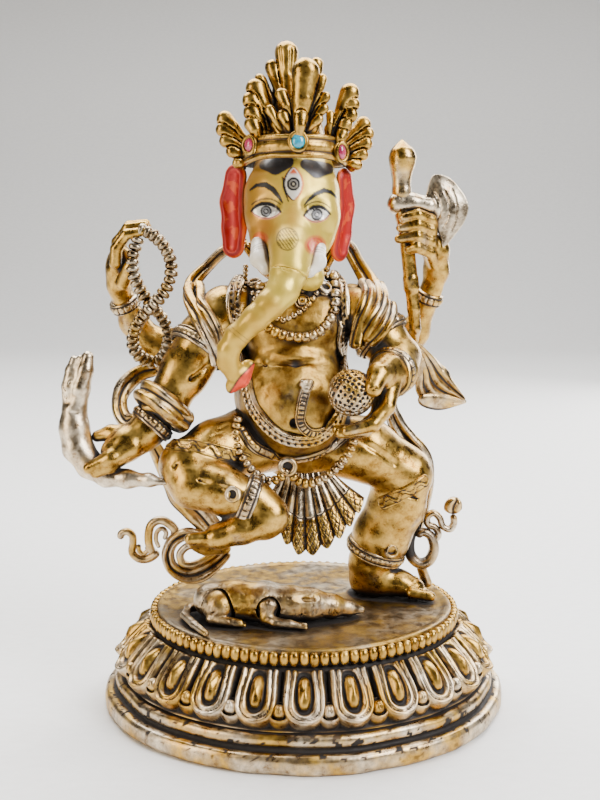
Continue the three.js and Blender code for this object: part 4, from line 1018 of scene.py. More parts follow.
# ---- Ears ----
# Long flat ears with a thickened rim, cast apart and let into the sides of the head. They are painted red,
# with an orange rim and a lighter mottled pattern in the middle.
ear_paint = painted("painted_red", 0.42, 0.3)
for side, spine, way in (
    ("right", [(-19.8, 0.5, 128.4, 3.6), (-20.9, 2, 121, 4.1), (-20.6, 2, 113.5, 4.0),
    (-20.8, 2, 108.4, 3.7)], (-0.45, -0.89, 0)),
    ("left", [(11.6, 0.5, 127.6, 3.2), (12.2, 2, 120, 3.6), (11.2, 2, 112, 3.7), (10.4, 1.5, 107.2, 3.5)],
    (0.72, -0.69, 0)),
):
    way = np.array(way)
    ear = Clay(np.min(spine, axis=0)[:3] - 5, np.max(spine, axis=0)[:3] + 5, 0.26)
    ear.rods(spine, 1.5, flat=(*way, 2.5))
    hollow_line = [(x + way[0] * 1.9, y + way[1] * 1.9, z, r - 1.5) for x, y, z, r in spine]
    ear.carve(hollow_line, 0.7, flat=(*way, 1.7))
    points, quads = ear.cast()
    line = np.array(spine)
    gap = np.full(len(points), 9.0)
    for start, end in zip(line, line[1:]):
        rod = end[:3] - start[:3]
        share = np.clip((points - start[:3]) @ rod / (rod @ rod), 0, 1)
        apart = points - start[:3] - share[:, None] * rod
        apart -= (apart @ way)[:, None] * way
        gap = np.minimum(gap, np.linalg.norm(apart, axis=1) - (start[3] + (end[3] - start[3]) * share))
    colours = np.tile((0.38, 0.003, 0.002), (len(points), 1))
    mottle = waves(points * [1, 1, 0.7], 3.4, 61) + 0.5 * waves(points, 1.6, 62)
    brush(colours, (0.62, 0.075, 0.012),
        0.75 * step_between(mottle, 0.22, 0.5) * step_between(-gap, 1.3, 2.2))
    brush(colours, (0.16, 0.008, 0.008), 0.7 * ridge(gap, -1.25, 0.35))
    brush(colours, (0.68, 0.1, 0.006), step_between(gap, -0.7, -0.35))
    mesh = new_mesh(side + "_ear", above_platform(points), [quads])
    add_colours(mesh, "paint", colours)
    add_piece(side + "_ear_cast", mesh, [side + "_ear"], ear_paint)

# ---- Crown ----
# A cast crown soldered round the brow: a railed band, three tall leaves and two small side ones, each a
# sheaf of overlapping finger-like lobes, and a ribbed knot of hair behind. Stones sit in soldered bezels.
crown_metal = aged_metal("crown_gilding", 0.98, 0.9, 0.27, 0.1)


def curve(points, spacing=0.4):
    """A smooth line through the points, evenly spaced."""
    points = np.asarray(points, float)
    ends = np.concatenate([[2 * points[0] - points[1]], points, [2 * points[-1] - points[-2]]])
    share = np.linspace(0, 1, 16, endpoint=False)[:, None]
    pieces = [
        0.5 * (2 * b + (c - a) * share + (2 * a - 5 * b + 4 * c - d) * share**2
               + (3 * b - a - 3 * c + d) * share**3)
        for a, b, c, d in zip(ends, ends[1:], ends[2:], ends[3:])
    ]
    return spread_along(np.concatenate([*pieces, points[-1:]]), spacing)


def unit_rows(values):
    return values / np.linalg.norm(values, axis=1, keepdims=True)


def tube_quads(rows, around, closed=False):
    """The quads of a swept tube from its rings of points, joined end to end or closed over at both ends."""
    here = np.arange(rows * around).reshape(rows, around)
    last, following = (here, np.roll(here, -1, axis=0)) if closed else (here[:-1], here[1:])
    corners = [last, np.roll(last, -1, axis=1), np.roll(following, -1, axis=1), following]
    quads = [np.stack(corners, axis=2).reshape(-1, 4)]
    if not closed:
        half = around // 2
        for ring, turned in ((here[0], -1), (here[-1], 1)):
            back = ring[::-1]
            cap = np.stack([ring[:half - 1], ring[1:half], back[1:half], back[:half - 1]], axis=1)
            quads.append(cap[:, ::turned])
    return np.concatenate(quads)


def band(path, out, half_width, face, back=0.5, relief=None, closed=False, both=False, grain=0.32):
    """A band laid along a path with its face turned to `out`, as (points, quads, pits).

    relief(along, side) gives the lift of the face and how much patina and painted shade lie there."""
    path, out = np.asarray(path, float), np.broadcast_to(np.asarray(out, float), np.shape(path))
    if closed:
        ahead = np.roll(path, -1, axis=0) - np.roll(path, 1, axis=0)
    else:
        ahead = np.gradient(path, axis=0)
    ahead = unit_rows(ahead)
    side = unit_rows(np.cross(ahead, out))
    out = np.cross(side, ahead)
    gaps = np.linalg.norm(np.diff(path, axis=0), axis=1)
    along = np.concatenate([[0], np.cumsum(gaps)])
    half = np.broadcast_to(np.asarray(half_width, float), len(path)).copy()
    lift_share = np.ones(len(path))
    if not closed:
        end_gap = np.minimum(along, along[-1] - along)
        from_end = np.clip(end_gap / np.minimum(half, 1.5), 0, 1)
        lift_share = np.sqrt(np.clip(1 - (1 - from_end) ** 2, 0.01, 1))
        half = half * lift_share
    columns = np.linspace(-1, 1, max(5, int(2 * half.max() / grain) | 1))
    dome = np.sqrt(np.clip(1 - np.abs(columns) ** 5, 0, 1))
    sides = half[:, None] * columns[None, :]
    height, pit = np.broadcast_to(face * dome, sides.shape), np.zeros(sides.shape)
    if relief is not None:
        extra, pit = relief(np.broadcast_to(along[:, None], sides.shape), sides)
        height = height + extra * dome
    height = height * lift_share[:, None]
    depth = -back * dome[None, :] * lift_share[:, None] if not both else -height
    faces = [height, np.broadcast_to(depth, sides.shape)[:, ::-1]]
    points = np.concatenate([
        path[:, None, :] + side[:, None, :] * flank[:, :, None] + out[:, None, :] * rise[:, :, None]
        for flank, rise in zip((sides, sides[:, ::-1]), faces)
    ], axis=1)
    quads = tube_quads(*points.shape[:2], closed)
    pits = np.concatenate([pit, pit[:, ::-1] if both else np.zeros(pit.shape)], axis=1).ravel()
    return points.reshape(-1, 3), quads, pits


def made_of(name, parts):
    """One mesh from (points, quads, pits) parts; the pits are kept in the attribute `pit`."""
    points, quads, pits, start = [], [], [], 0
    for part_points, part_quads, part_pits in parts:
        points.append(part_points)
        quads.append(part_quads + start)
        pits.append(part_pits)
        start += len(part_points)
    mesh = new_mesh(name, above_platform(np.concatenate(points)), [np.concatenate(quads)])
    set_values(mesh, "pit", np.concatenate(pits))
    return mesh


def hoop(centre, out, radius, tall=None, count=64):
    """A ring of points round a centre, in the plane that faces `out`."""
    out = np.array(out, float) / np.linalg.norm(out)
    across = np.cross([0, 0, 1.0], out)
    across /= np.linalg.norm(across)
    turns = round_turns(count)[:, None]
    up = np.cross(out, across)
    return np.array(centre) + across * np.cos(turns) * radius + up * np.sin(turns) * (tall or radius)


def lobes(low, high, fingers):
    """A sheaf of finger-like lobes, each (foot, tip, foot radius, tip radius), later ones lying in front."""
    clay = Clay(low, high, 0.3)
    for foot_end, tip_end, foot_size, tip_size in fingers:
        foot_end, tip_end = np.array(foot_end, float), np.array(tip_end, float)
        middle = foot_end * 0.45 + tip_end * 0.55 + [0, -0.5, 0]
        waist = 0.35 * foot_size + 0.6 * tip_size
        drop = [(*foot_end, foot_size), (*middle, waist), (*tip_end, tip_size)]
        clay.carve([(x, y, z, r + 0.34) for x, y, z, r in drop], 0.25, flat=(0, 1, 0, 1.2))
        clay.rods([(x, y + 1.0, z, r - 0.15) for x, y, z, r in drop], 0.3)
        clay.rods(drop, 0.12, flat=(0, 1, 0, 1.15))
    return clay


crown_leaves = {
    "crown_leaf_front": [
        ((1.9, -12.4, 143.5), (4.9, -12.0, 154.2), 0.67, 1.48),
        ((1.6, -12.9, 142.3), (5.8, -12.5, 149.4), 0.61, 1.41),
        ((1.6, -13.4, 141.6), (5.3, -13.0, 146.3), 0.61, 1.41),
        ((0.9, -13.9, 140.4), (3.9, -13.5, 143.4), 0.61, 1.35),
        ((-6.4, -12.6, 140.5), (-9.5, -12.2, 145.9), 0.67, 1.48),
        ((-3.3, -13.2, 143.4), (-6.3, -12.8, 150.0), 0.81, 1.82),
        ((-3.7, -13.8, 139.8), (-5.9, -13.4, 144.3), 0.67, 1.62),
        ((-1.5, -13.8, 140.4), (0.3, -13.4, 155.8), 1.62, 3.91),
        ((-1.4, -16.6, 139.0), (-1.0, -16.2, 143.6), 1.21, 2.09),
    ],
    "crown_leaf_right": [
        ((-8.4, -7.6, 142.7), (-12.4, -7.2, 154.5), 0.81, 1.75),
        ((-9.0, -8, 142.1), (-13.6, -7.6, 152.1), 1.08, 2.83),
        ((-10.5, -8.6, 141.4), (-14.8, -8.2, 148.8), 1.08, 2.56),
        ((-11.5, -9.2, 140.4), (-14.5, -8.8, 145.5), 1.08, 2.56),
        ((-13.0, -9.8, 138.9), (-14.4, -9.4, 142.3), 1.21, 2.42),
    ],
    "crown_leaf_left": [
        ((6.9, -9.6, 139.5), (7.2, -9.2, 145.0), 0.74, 1.21),
        ((8.2, -8.2, 140.2), (12.6, -7.8, 150.8), 1.21, 2.83),
        ((8.8, -8.7, 139.6), (13.4, -8.3, 147.8), 0.94, 2.15),
        ((9.1, -9.2, 138.9), (12.9, -8.8, 144.9), 0.94, 2.15),
        ((9.4, -9.8, 138.3), (11.6, -9.4, 142.1), 0.94, 2.02),
        ((9.3, -10.4, 137.0), (10.6, -10.0, 139.6), 0.94, 1.75),
    ],
    "crown_leaf_rear_right": [
        ((-17.6, 1.2, 139.7), (-22.8, 1.6, 144.4), 1.08, 2.56),
        ((-18.2, 0.4, 138.0), (-23.4, 0.8, 141.6), 0.94, 2.15),
        ((-17.8, -0.4, 136.4), (-22.5, 0.0, 138.3), 0.88, 2.02),
        ((-17.5, -1.4, 133.9), (-20.7, -1, 135.3), 0.81, 1.89),
        ((-16.8, -2.4, 132.0), (-19.1, -2.0, 132.0), 0.81, 1.62),
    ],
    "crown_leaf_rear_left": [
        ((12.6, 1.2, 138.4), (17.1, 1.6, 143.1), 1.01, 2.29),
        ((12.9, 0.4, 137.1), (18.2, 0.8, 140.4), 0.94, 2.02),
        ((12.9, -0.4, 135.5), (17.8, 0.0, 137.6), 0.88, 2.02),
        ((12.9, -1.4, 133.3), (16.7, -1, 134.5), 0.81, 1.89),
        ((12.5, -2.4, 132.0), (15.2, -2.0, 131.6), 0.81, 1.62),
    ],
}
for name, fingers in crown_leaves.items():
    ends = np.array([point for finger in fingers for point in finger[:2]], float)
    leaf = lobes(ends.min(axis=0) - 5, ends.max(axis=0) + 5, fingers)
    for one, two in zip(fingers, fingers[1:]):
        web = [(np.array(finger[0]) * 0.5 + np.array(finger[1]) * 0.5 + [0, 1.9, -1])
            for finger in (one, two)]
        foot_end = np.array(one[0]) + [0, 1.6, -1.5]
        leaf.rods([(*web[0], 1.3), (*web[1], 1.3)], 0.6).rods([(*web[0], 1.3), (*foot_end, 1.3)], 0.6)
    cast_piece(name + "_cast", leaf, [name], crown_metal, unevenness(5, 0.1, 71))

knot = Clay((-14, -9, 130), (8, 12, 170), 0.32)
knot.rods([(-2.5, 1, 136, 9.4), (-3.2, 1.5, 145, 7.6), (-4.2, 1.2, 152, 5.2)], 2)
for rib in range(11):
    turn = 2 * math.pi * rib / 11
    out = np.array([math.sin(turn), math.cos(turn), 0])
    low, high = np.array([-2.7, 1, 138]) + out * 9.6, np.array([-4.2, 1, 153]) + out * 4.6
    knot.carve([(*low, 0.5), (*((low + high) / 2 + out * 0.5), 0.55), (*high, 0.4)], 0.6)
for balls in (
    [(-5.0, 3.2, 150, 4.6), (-5.0, 2.2, 158.5, 3.6)], [(2.4, 0.4, 149, 1.8), (3.5, 0.2, 159.8, 2.0)],
    [(-9.1, -1.8, 148.6, 1.3), (-12.3, -1.4, 154.8, 1.8)],
    [(-5.9, -2.4, 150.3, 1.8), (-8.8, -1.4, 158.6, 2.4)], [(-4.6, -2.4, 149, 2.1), (-5.0, -1.2, 162.6, 3.4)],
):
    knot.carve([(x, y, z, r + 0.35) for x, y, z, r in balls], 0.3)
    knot.rods([(x, y + 0.8, z, r - 0.2) for x, y, z, r in balls], 0.3).rods(balls, 0.15)
knot.carve([(-6.9, -3.9, 165.2, 0.4), (-6.4, -4.4, 158, 0.3)],
    0.4).carve([(-3.6, -4.2, 165.0, 0.4), (-3.9, -4.4, 157, 0.3)], 0.4)
cast_piece("hair_knot_cast", knot, ["hair_knot"], crown_metal, unevenness(5, 0.12, 72))


def band_rails(along, side):
    """Two rails with chased strokes between them."""
    stroke = np.abs(np.sin(along * 1.3 + side * 0.5)) ** 0.3
    middle = ridge(side, 0, 1.1)
    lift = 0.6 * ridge(np.abs(side), 2.7, 0.55) + 0.45 * middle + 0.12 * (stroke - 0.5) * middle
    return lift, 0.3 * middle * np.clip(0.5 - stroke, 0, 1) + 0.75 * ridge(np.abs(side), 1.7, 0.4)


crown_middle, crown_turns = np.array([-2.5, 0, 134.4]), round_turns(340)
ring_path = np.stack([14.3 * np.sin(crown_turns), -15.3 * np.cos(crown_turns), np.zeros(340)], axis=1)
ring_path = crown_middle + ring_path
ring_path[:, 2] += 1.7 * step_between(-ring_path[:, 1], 2, 15)
ring_band = band(ring_path, ring_path - crown_middle, 3.4, 0.8, 0.8, band_rails, closed=True)
crown_ring = made_of("crown_band", [ring_band])
add_piece("crown_band_cast", crown_ring, ["crown_band"], crown_metal)


def stone_material(name, dark, light, veins, clear):
    """A polished cabochon, clouded inside, with fine veins."""
    material = bpy.data.materials.new(name)
    add = node_maker(material)
    place = add("ShaderNodeTexCoord").outputs["Object"]
    cloud = add("ShaderNodeTexNoise", {"Vector": place, "Scale": 700.0, "Detail": 5.0}).outputs[0]
    crack = add("ShaderNodeTexVoronoi", {"Vector": place, "Scale": 900.0},
        feature="DISTANCE_TO_EDGE").outputs[0]
    clouded = ramp(add, cloud, [(0.3, 0.0), (0.7, 1.0)])
    body = add("ShaderNodeMix", {0: clouded, 6: dark, 7: light}, data_type="RGBA").outputs[2]
    veined = add("ShaderNodeMix", {
        0: ramp(add, crack, [(0.0, veins), (0.06, 0.0)]), 6: body, 7: (0.05, 0.03, 0.02, 1),
    }, data_type="RGBA").outputs[2]
    shader = add("ShaderNodeBsdfPrincipled", {
        "Base Color": veined, "Roughness": 0.18, "Coat Weight": 0.6, "Coat Roughness": 0.06,
        "Subsurface Weight": clear, "Subsurface Scale": 0.002,
    })
    add("ShaderNodeOutputMaterial", {0: shader.outputs[0]})
    return material


turquoise_stone = stone_material("turquoise_stone", (0.0, 0.2, 0.34, 1), (0.02, 0.42, 0.55, 1), 0.5, 0.0)
ruby_stone = stone_material("ruby_stone", (0.22, 0.012, 0.05, 1), (0.6, 0.07, 0.16, 1), 0.15, 0.25)
bezels = []
for name, centre, out, radius, tall, slot, stone in (
    ("crown_turquoise", (-1.7, -16.7, 137.1), (0, -1, 0.1), 2.0, 2.1, "turquoise", turquoise_stone),
    ("crown_ruby_right", (-15.2, -10.4, 136.6), (-0.62, -0.78, 0), 1.7, 2.0, "ruby", ruby_stone),
    ("crown_ruby_left", (10.3, -11.0, 134.6), (0.55, -0.83, 0), 1.45, 2.2, "ruby", ruby_stone),
):
    out = np.array(out, float) / np.linalg.norm(out)
    up = np.array([0, 0, 1]) - out * out[2]
    up /= np.linalg.norm(up)
    dome = repeated(name, barrel(radius, radius * 0.75, tall, 2.0, 20, 28), [above_platform(centre)],
                    [(np.cross(out, up), out, up)], [(1, 1, 1)], stone)
    add_piece(name + "_stone", dome, [name], None)
    bezel_path = hoop(np.array(centre) + out * 0.15, out, radius + 0.35, tall + 0.35)
    bezels.append(band(bezel_path, out, 0.62, 0.8, 1.5, closed=True))
add_piece("stone_bezels", made_of("stone_bezels", bezels), [], crown_metal)

# ---- Chest ornaments and girdle ----
# A pierced flat garland, a barrel-bead necklace with an inner collar, a snake tied over the belly, and a
# belt of square beads with a ring clasp and a hanging swag. All are cast strips, soldered down.
ornament_silver = aged_metal("ornament_silvering", 0.45, 0.95, 0.26, 0.1)


def calmed(values, width):
    """Rows of values, each averaged with its neighbours over `width` rows."""
    padded = np.pad(values, ((width // 2, width // 2), (0, 0)), "edge")
    return np.stack([np.convolve(column, np.ones(width) / width, "valid") for column in padded.T], axis=1)


def laid_on(clays, line, lift=0.0):
    """A line of (x, z) seen from the front, laid on the clays: its points and the directions they face."""
    line = curve(line)
    fronts = np.stack([clay.front(line[:, 0], line[:, 1]) for clay in clays])
    fronts = np.where(np.isnan(fronts), 99.0, fronts)
    nearest = fronts.min(axis=0)
    found = nearest < 90
    nearest = np.interp(np.arange(len(line)), np.nonzero(found)[0], nearest[found])
    points = np.stack([line[:, 0], nearest, line[:, 1]], axis=1)
    facing = np.zeros(points.shape)
    for number, clay in enumerate(clays):
        chosen = fronts.argmin(axis=0) == number
        facing[chosen] = clay.outward(points[chosen])
    calm = calmed(np.concatenate([points, facing], axis=1), 9)
    points[:, 1], facing = calm[:, 1], unit_rows(calm[:, 3:])
    return points + facing * lift, facing


def punched(along, side):
    """Two staggered rows of punched holes between raised edges."""
    pits = np.zeros(side.shape)
    for row, shift in ((-0.78, 0.0), (0.78, 0.5)):
        step = (along / 1.85 + shift) % 1 - 0.5
        pits = np.maximum(pits, 1 - step_between(np.hypot(step * 1.85, (side - row) * 1.05), 0.3, 0.56))
    return 0.25 * ridge(np.abs(side), 1.5, 0.35) - 0.65 * pits, pits


def scroll_border(along, side):
    """A row of embossed waves between two fine edges."""
    wave = np.abs(side - 0.95 * np.sin(along * 1.25)) - 0.1 * np.cos(along * 5)
    lift = 0.3 * ridge(np.abs(side), 1.85, 0.28) + 0.35 * np.clip(1 - wave / 0.6, 0, 1)
    return lift, 0.65 * ridge(wave, 0.75, 0.25) + 0.5 * ridge(np.abs(side), 1.45, 0.2)


# The two chased hems of the leg cloth, on the raised thigh and over the standing knee, are strips too.
for name, clay, line in (
    ("thigh_hem", raised, [(-38.6, 53.4), (-33, 53.6), (-27, 52.4), (-20.5, 50.2), (-15.5, 47.4)]),
    ("knee_hem", standing, [(22.5, 31.0), (27, 33.6), (32, 36.4), (37.4, 39.4)]),
):
    path, out = laid_on([clay], line, 0.05)
    hem_band = made_of(name, [band(path, out, 2.2, 0.55, 1.0, scroll_border)])
    add_piece(name, hem_band, [], cloth_metal)


def bead_string(name, path, facing, size, pitch, material, closed=False):
    """Squarish beads threaded close together along a path."""
    gaps = np.linalg.norm(np.diff(path, axis=0), axis=1).sum()
    count = int(gaps / pitch)
    where = np.linspace(0, len(path) - 1, count, endpoint=not closed)
    spot, face = (resampled(values, np.arange(len(path)), where) for values in (path, facing))
    ahead = unit_rows(np.gradient(spot, axis=0))
    out = unit_rows(face - ahead * (face * ahead).sum(axis=1, keepdims=True))
    frames = [(np.cross(o, a), o, a) for o, a in zip(out, ahead)]
    chance = np.random.default_rng(len(path))
    sizes = [tuple(chance.uniform(0.93, 1.06, 3)) for _ in spot]
    bead = barrel(size, size, pitch * 0.54, 2.7, 8, 12)
    return repeated(name, bead, above_platform(spot), frames, sizes, material)


garland_path, garland_out = laid_on([torso, front_right, front_left], [
    (-18, 99.5), (-20.2, 96), (-20.3, 90), (-18.6, 84), (-17.4, 76), (-16.2, 70), (-14.2, 63.5),
    (-9.2, 57.6), (-4, 54.8), (3, 54.6), (8.4, 59), (10.8, 66), (11.0, 74), (10.6, 82), (11.6, 90),
    (10.4, 97), (7.6, 101),
], 0.5)
garland = made_of("garland", [band(garland_path, garland_out, 2.15, 0.95, 1.0, punched)])
add_piece("garland_cast", garland, ["garland"], ornament_silver)

pearl_path, pearl_out = laid_on([torso], [
    (-12.5, 96), (-12.2, 91), (-10.6, 86.2), (-7.6, 84.0), (-3.5, 83.0), (0.5, 82.9), (4.4, 84.6),
    (7.6, 88.4), (8.8, 93), (8.2, 98.5),
], 0.9)
pearls = bead_string("pearl_necklace", pearl_path, pearl_out, 1.55, 2.5, ornament_silver)
add_piece("pearl_necklace_cast", pearls, ["pearl_necklace"], None)

for number, (line, size) in enumerate((
    ([(6.4, 101.5), (4.2, 98.8), (1.0, 96.4), (-3.0, 94.2)], 0.85),
    ([(4.4, 96.2), (0.8, 91.4), (-3.4, 88.6), (-7, 87.6), (-10, 90.6)], 0.95),
    ([(-17.2, 102), (-17.4, 97), (-16.8, 92)], 0.8), ([(6.6, 99), (7.2, 95.6)], 0.8),
    ([(-14.8, 94.6), (-13.6, 91.6)], 0.75),
)):
    path, out = laid_on([torso], line, 0.35)
    strung = bead_string("collar_string_%d" % number, path, out, size, size * 1.75, ornament_silver)
    add_piece("collar_string_%d" % number, strung, [], None)


def ring_stone(centre, out, radius, thick=0.55):
    """A raised ring with a dark hollow in it, as band parts."""
    out = np.array(out, float) / np.linalg.norm(out)
    rim = band(hoop(np.array(centre) + out * 0.3, out, radius), out, thick, 0.85, 1.6, closed=True)
    floor_path = hoop(np.array(centre) + out * 0.1, out, radius * 0.5)
    points, quads, pits = band(floor_path, out, radius * 0.49, 0.1, 1.2, closed=True)
    return [rim, (points, quads, np.ones(len(pits)))]


bosses = []
for x, z, radius in ((5.6, 95.8, 1.75), (-14.5, 96.9, 1.7)):
    spot, facing = laid_on([torso], [(x - 0.4, z), (x, z), (x + 0.4, z)], 0.6)
    bosses += ring_stone(spot[1], facing[1], radius)
spot, facing = laid_on([torso], [(-0.9, 92.7), (-0.5, 92.7), (-0.1, 92.7)], 0.5)
bosses.append(band(hoop(spot[1], facing[1], 0.8), facing[1], 0.79, 1.3, 0.8, closed=True))
bosses.append(band(hoop(spot[1], facing[1], 1.9), facing[1], 0.35, 0.6, 0.8, closed=True))
add_piece("collar_bosses", made_of("collar_bosses", bosses), [], ornament_silver)


def snake_back(along, side):
    """A narrow body with two raised edges and close ribs across."""
    rib = np.clip(np.sin(along * 2 * math.pi / 1.15), -0.6, 1)
    inner = np.clip(1 - (np.abs(side) / 0.95) ** 4, 0, 1)
    groove = ridge(np.abs(side), 1.0, 0.16)
    return 0.3 * inner * rib - 0.45 * groove, np.maximum(groove, 0.85 * inner * np.clip(-rib * 1.8, 0, 1))


snake_path, snake_out = laid_on([torso],
    [(0.5, 69.6), (-0.7, 65), (-1.1, 60.6), (0.6, 57.4), (3.6, 56.4), (8.5, 57.4)], 0.2)
snake = made_of("snake", [band(snake_path, snake_out, 1.6, 1.25, 0.8, snake_back, grain=0.18)])
add_piece("snake_body", snake, ["snake_girdle"], ornament_silver)
snake_head = Clay((-4, -28, 66), (5, -12, 75), 0.2)
face_point, face_way = snake_path[0], snake_out[0]
brow, lip = face_point + face_way * 0.5, face_point + face_way * 1.9
snake_head.rods([(*(brow + [-0.9, 0, 0.9]), 1.35), (*(brow + [0.9, 0, 0.9]), 1.35)], 0.3)
snake_head.rods([(*(brow + [0, 0, -0.6]), 1.5)], 0.8)
for side in (-0.85, 0.85):
    eye = face_point + face_way * 1.7 + [side, 0, 1.05]
    snake_head.rods([(*eye, 0.62)], 0.1).carve([(*(eye + face_way * 0.55), 0.3)], 0.1)
snake_head.carve([(*(lip + [-0.7, 0, -0.6]), 0.14), (*(lip + [0.7, 0, -0.6]), 0.14)], 0.1)
cast_piece("snake_head", snake_head, [], ornament_silver)


def square_beads(pitch, edge_at, inner):
    """A row of square beads between two plain rails."""
    def relief(along, side):
        cell = np.abs(2 * ((along / pitch) % 1) - 1)
        bead = np.clip(1 - cell**4, 0, 1) ** 0.5 * np.clip(1 - (np.abs(side) / inner) ** 4, 0, 1) ** 0.5
        rail = ridge(np.abs(side), edge_at, 0.34)
        between = np.clip(1 - bead * 1.6, 0, 1) * (np.abs(side) < inner)
        between = between + ridge(np.abs(side), inner + 0.15, 0.22)
        return 0.65 * bead + 0.5 * rail - 0.15, np.clip(between, 0, 1)
    return relief


belt_path, belt_out = laid_on([torso, raised, standing],
    [(-18.5, 57.5), (-15, 52.5), (-10.5, 49.6), (-4.6, 47.8), (3, 48.8), (9.5, 51.6), (14.5, 55.5)], 0.2)
belt = made_of("waist_belt", [band(belt_path, belt_out, 1.7, 0.8, 1.0, square_beads(1.75, 1.45, 0.95))])
add_piece("waist_belt_cast", belt, ["waist_belt"], ornament_silver)
clasp = made_of("belt_clasp", ring_stone((-4.7, -20.2, 46.9), (-0.05, -1, 0.1), 2.1, 0.8))
add_piece("belt_clasp_cast", clasp, ["belt_clasp"], ornament_silver)
swag_lines = (
    [(-19, -15.5, 59.5), (-19.6, -17.8, 55), (-18.0, -20.2, 50.2), (-14.2, -21.8, 45.8),
    (-10.5, -21.8, 43.2), (-7.4, -21, 43.6), (-5.2, -20.2, 45.4)],
    [(-4.0, -20.2, 45.4), (-2.4, -19.4, 42.9), (0.5, -18.6, 41.6), (4.4, -17.4, 42.2), (8.6, -15.4, 44.8),
    (12.2, -13.0, 48.2), (14.2, -11.6, 52), (14.6, -10.6, 54)],
)
for name, line in zip(("festoon_right", "festoon_left"), swag_lines):
    path = curve(line)
    swag = bead_string(name, path, np.tile([0.0, -1, 0.2], (len(path), 1)), 1.4, 1.8, ornament_silver)
    add_piece(name, swag, ["bead_festoon"] if name == "festoon_right" else [], None)

# ---- Pleated apron ----
# The end of the loincloth hangs between the legs as one thin casting: a fan of pressed pleats whose lower
# border is engraved with crossed lines and left coppery.
apron_metal = aged_metal("apron_silvering", 0.3, 1.0, 0.24, 0.08)
pleats = 9
hem = curve([(-11.2, -17.4, 35.5), (-8.6, -18.6, 29.6), (-4.4, -19.4, 24.4), (-0.2, -19.4, 21.6),
    (4.4, -19, 22.6), (9.0, -18, 25.2), (13.6, -15.5, 29.5), (17.6, -12.8, 35.2)], 0.22)
head_height = 43.4 + 0.6 * np.abs(np.linspace(-1, 1, len(hem)))
head_line = np.stack([np.linspace(-6.4, 7.5, len(hem)), np.linspace(-14.6, -12.6, len(hem)), head_height],
    axis=1)
down = np.linspace(0, 1, 96)[:, None, None]
across_share = np.linspace(0, 1, len(hem))[None, :]
cloth = head_line[None] + (hem - head_line)[None] * down
fold = (across_share * pleats) % 1
sheet = np.abs(2 * fold - 1)
swell = (0.5 + 1.9 * down[:, :, 0]) * (np.sqrt(np.clip(1 - sheet**2.2, 0, 1)) - 0.5)
cloth[:, :, 2] -= (down[:, :, 0] > 0.5) * (np.clip(1 - sheet**1.5, 0, 1) * 2.0 - 0.6) * (down[:, :, 0]
    - 0.5) * 2
reach = np.linalg.norm(cloth - cloth[:1], axis=2)
hatch_one = np.abs(np.sin(reach * 1.25 + (fold - 0.5) * 9)) < 0.2
hatch_two = np.abs(np.sin(reach * 1.25 - (fold - 0.5) * 9)) < 0.2
in_border = step_between(down[:, :, 0], 0.6, 0.66) * (sheet < 0.86)
lines = np.maximum(hatch_one, hatch_two) * in_border
lines = np.maximum(lines, ridge(down[:, :, 0], 0.58, 0.012) * (sheet < 0.9))
facing = np.array([-0.05, -0.98, 0.15])
front_face = cloth + facing * (swell - 0.16 * lines)[:, :, None]
back_face = cloth + facing * (swell * 0.8 - 0.95)[:, :, None]
sheet_size = cloth.shape[:2]
apron_points = above_platform(np.concatenate([front_face, back_face]).reshape(-1, 3))
apron = new_mesh("pleated_apron", apron_points, [sheet_quads(*sheet_size)])
# Patina and painted shade in the engraved lines and in the valleys between the pleats.
creases = 0.9 * lines + 1.0 * np.clip(sheet - 0.72, 0, 1) * 3.4
set_values(apron, "pit", np.clip([creases, np.zeros(sheet_size)], 0, 1))
copper_border = 0.5 * step_between(down[:, :, 0], 0.56, 0.66) * np.ones(sheet.shape)
set_values(apron, "gilt", [copper_border, np.zeros(sheet_size)])
add_piece("pleated_apron_cast", apron, ["pleated_apron"], apron_metal)

# ---- Bangles and anklets ----
# Bands of square beads between rails, cast as strips, bent round each limb and soldered. The anklets carry
# a ring stone.


def ring_on(clay, start, end, share, lift=0.0, tilt=(0, 0, 0), count=200):
    """A line round the limb that runs from start to end, with its outward directions."""
    start, end = np.array(start, float), np.array(end, float)
    axis = (end - start) / np.linalg.norm(end - start) + tilt
    axis /= np.linalg.norm(axis)
    centre = start + (end - start) * share
    first = np.cross(axis, [0, 1.0, 0.3])
    first /= np.linalg.norm(first)
    second = np.cross(axis, first)
    turns = round_turns(count)[:, None]
    ways = np.cos(turns) * first + np.sin(turns) * second
    steps = np.arange(0.5, 14, 0.1)
    rays = centre + ways[:, None, :] * steps[None, :, None]
    inside = clay.depth(rays.reshape(-1, 3)).reshape(count, -1) < 0
    radius = steps[np.argmax(~inside, axis=1)]
    radius = np.minimum(radius, np.median(radius) * 1.2)
    weights = np.ones(9) / 9
    radius = np.convolve(np.concatenate([radius[-4:], radius, radius[:4]]), weights, "valid")
    return centre + ways * (radius + lift)[:, None], ways


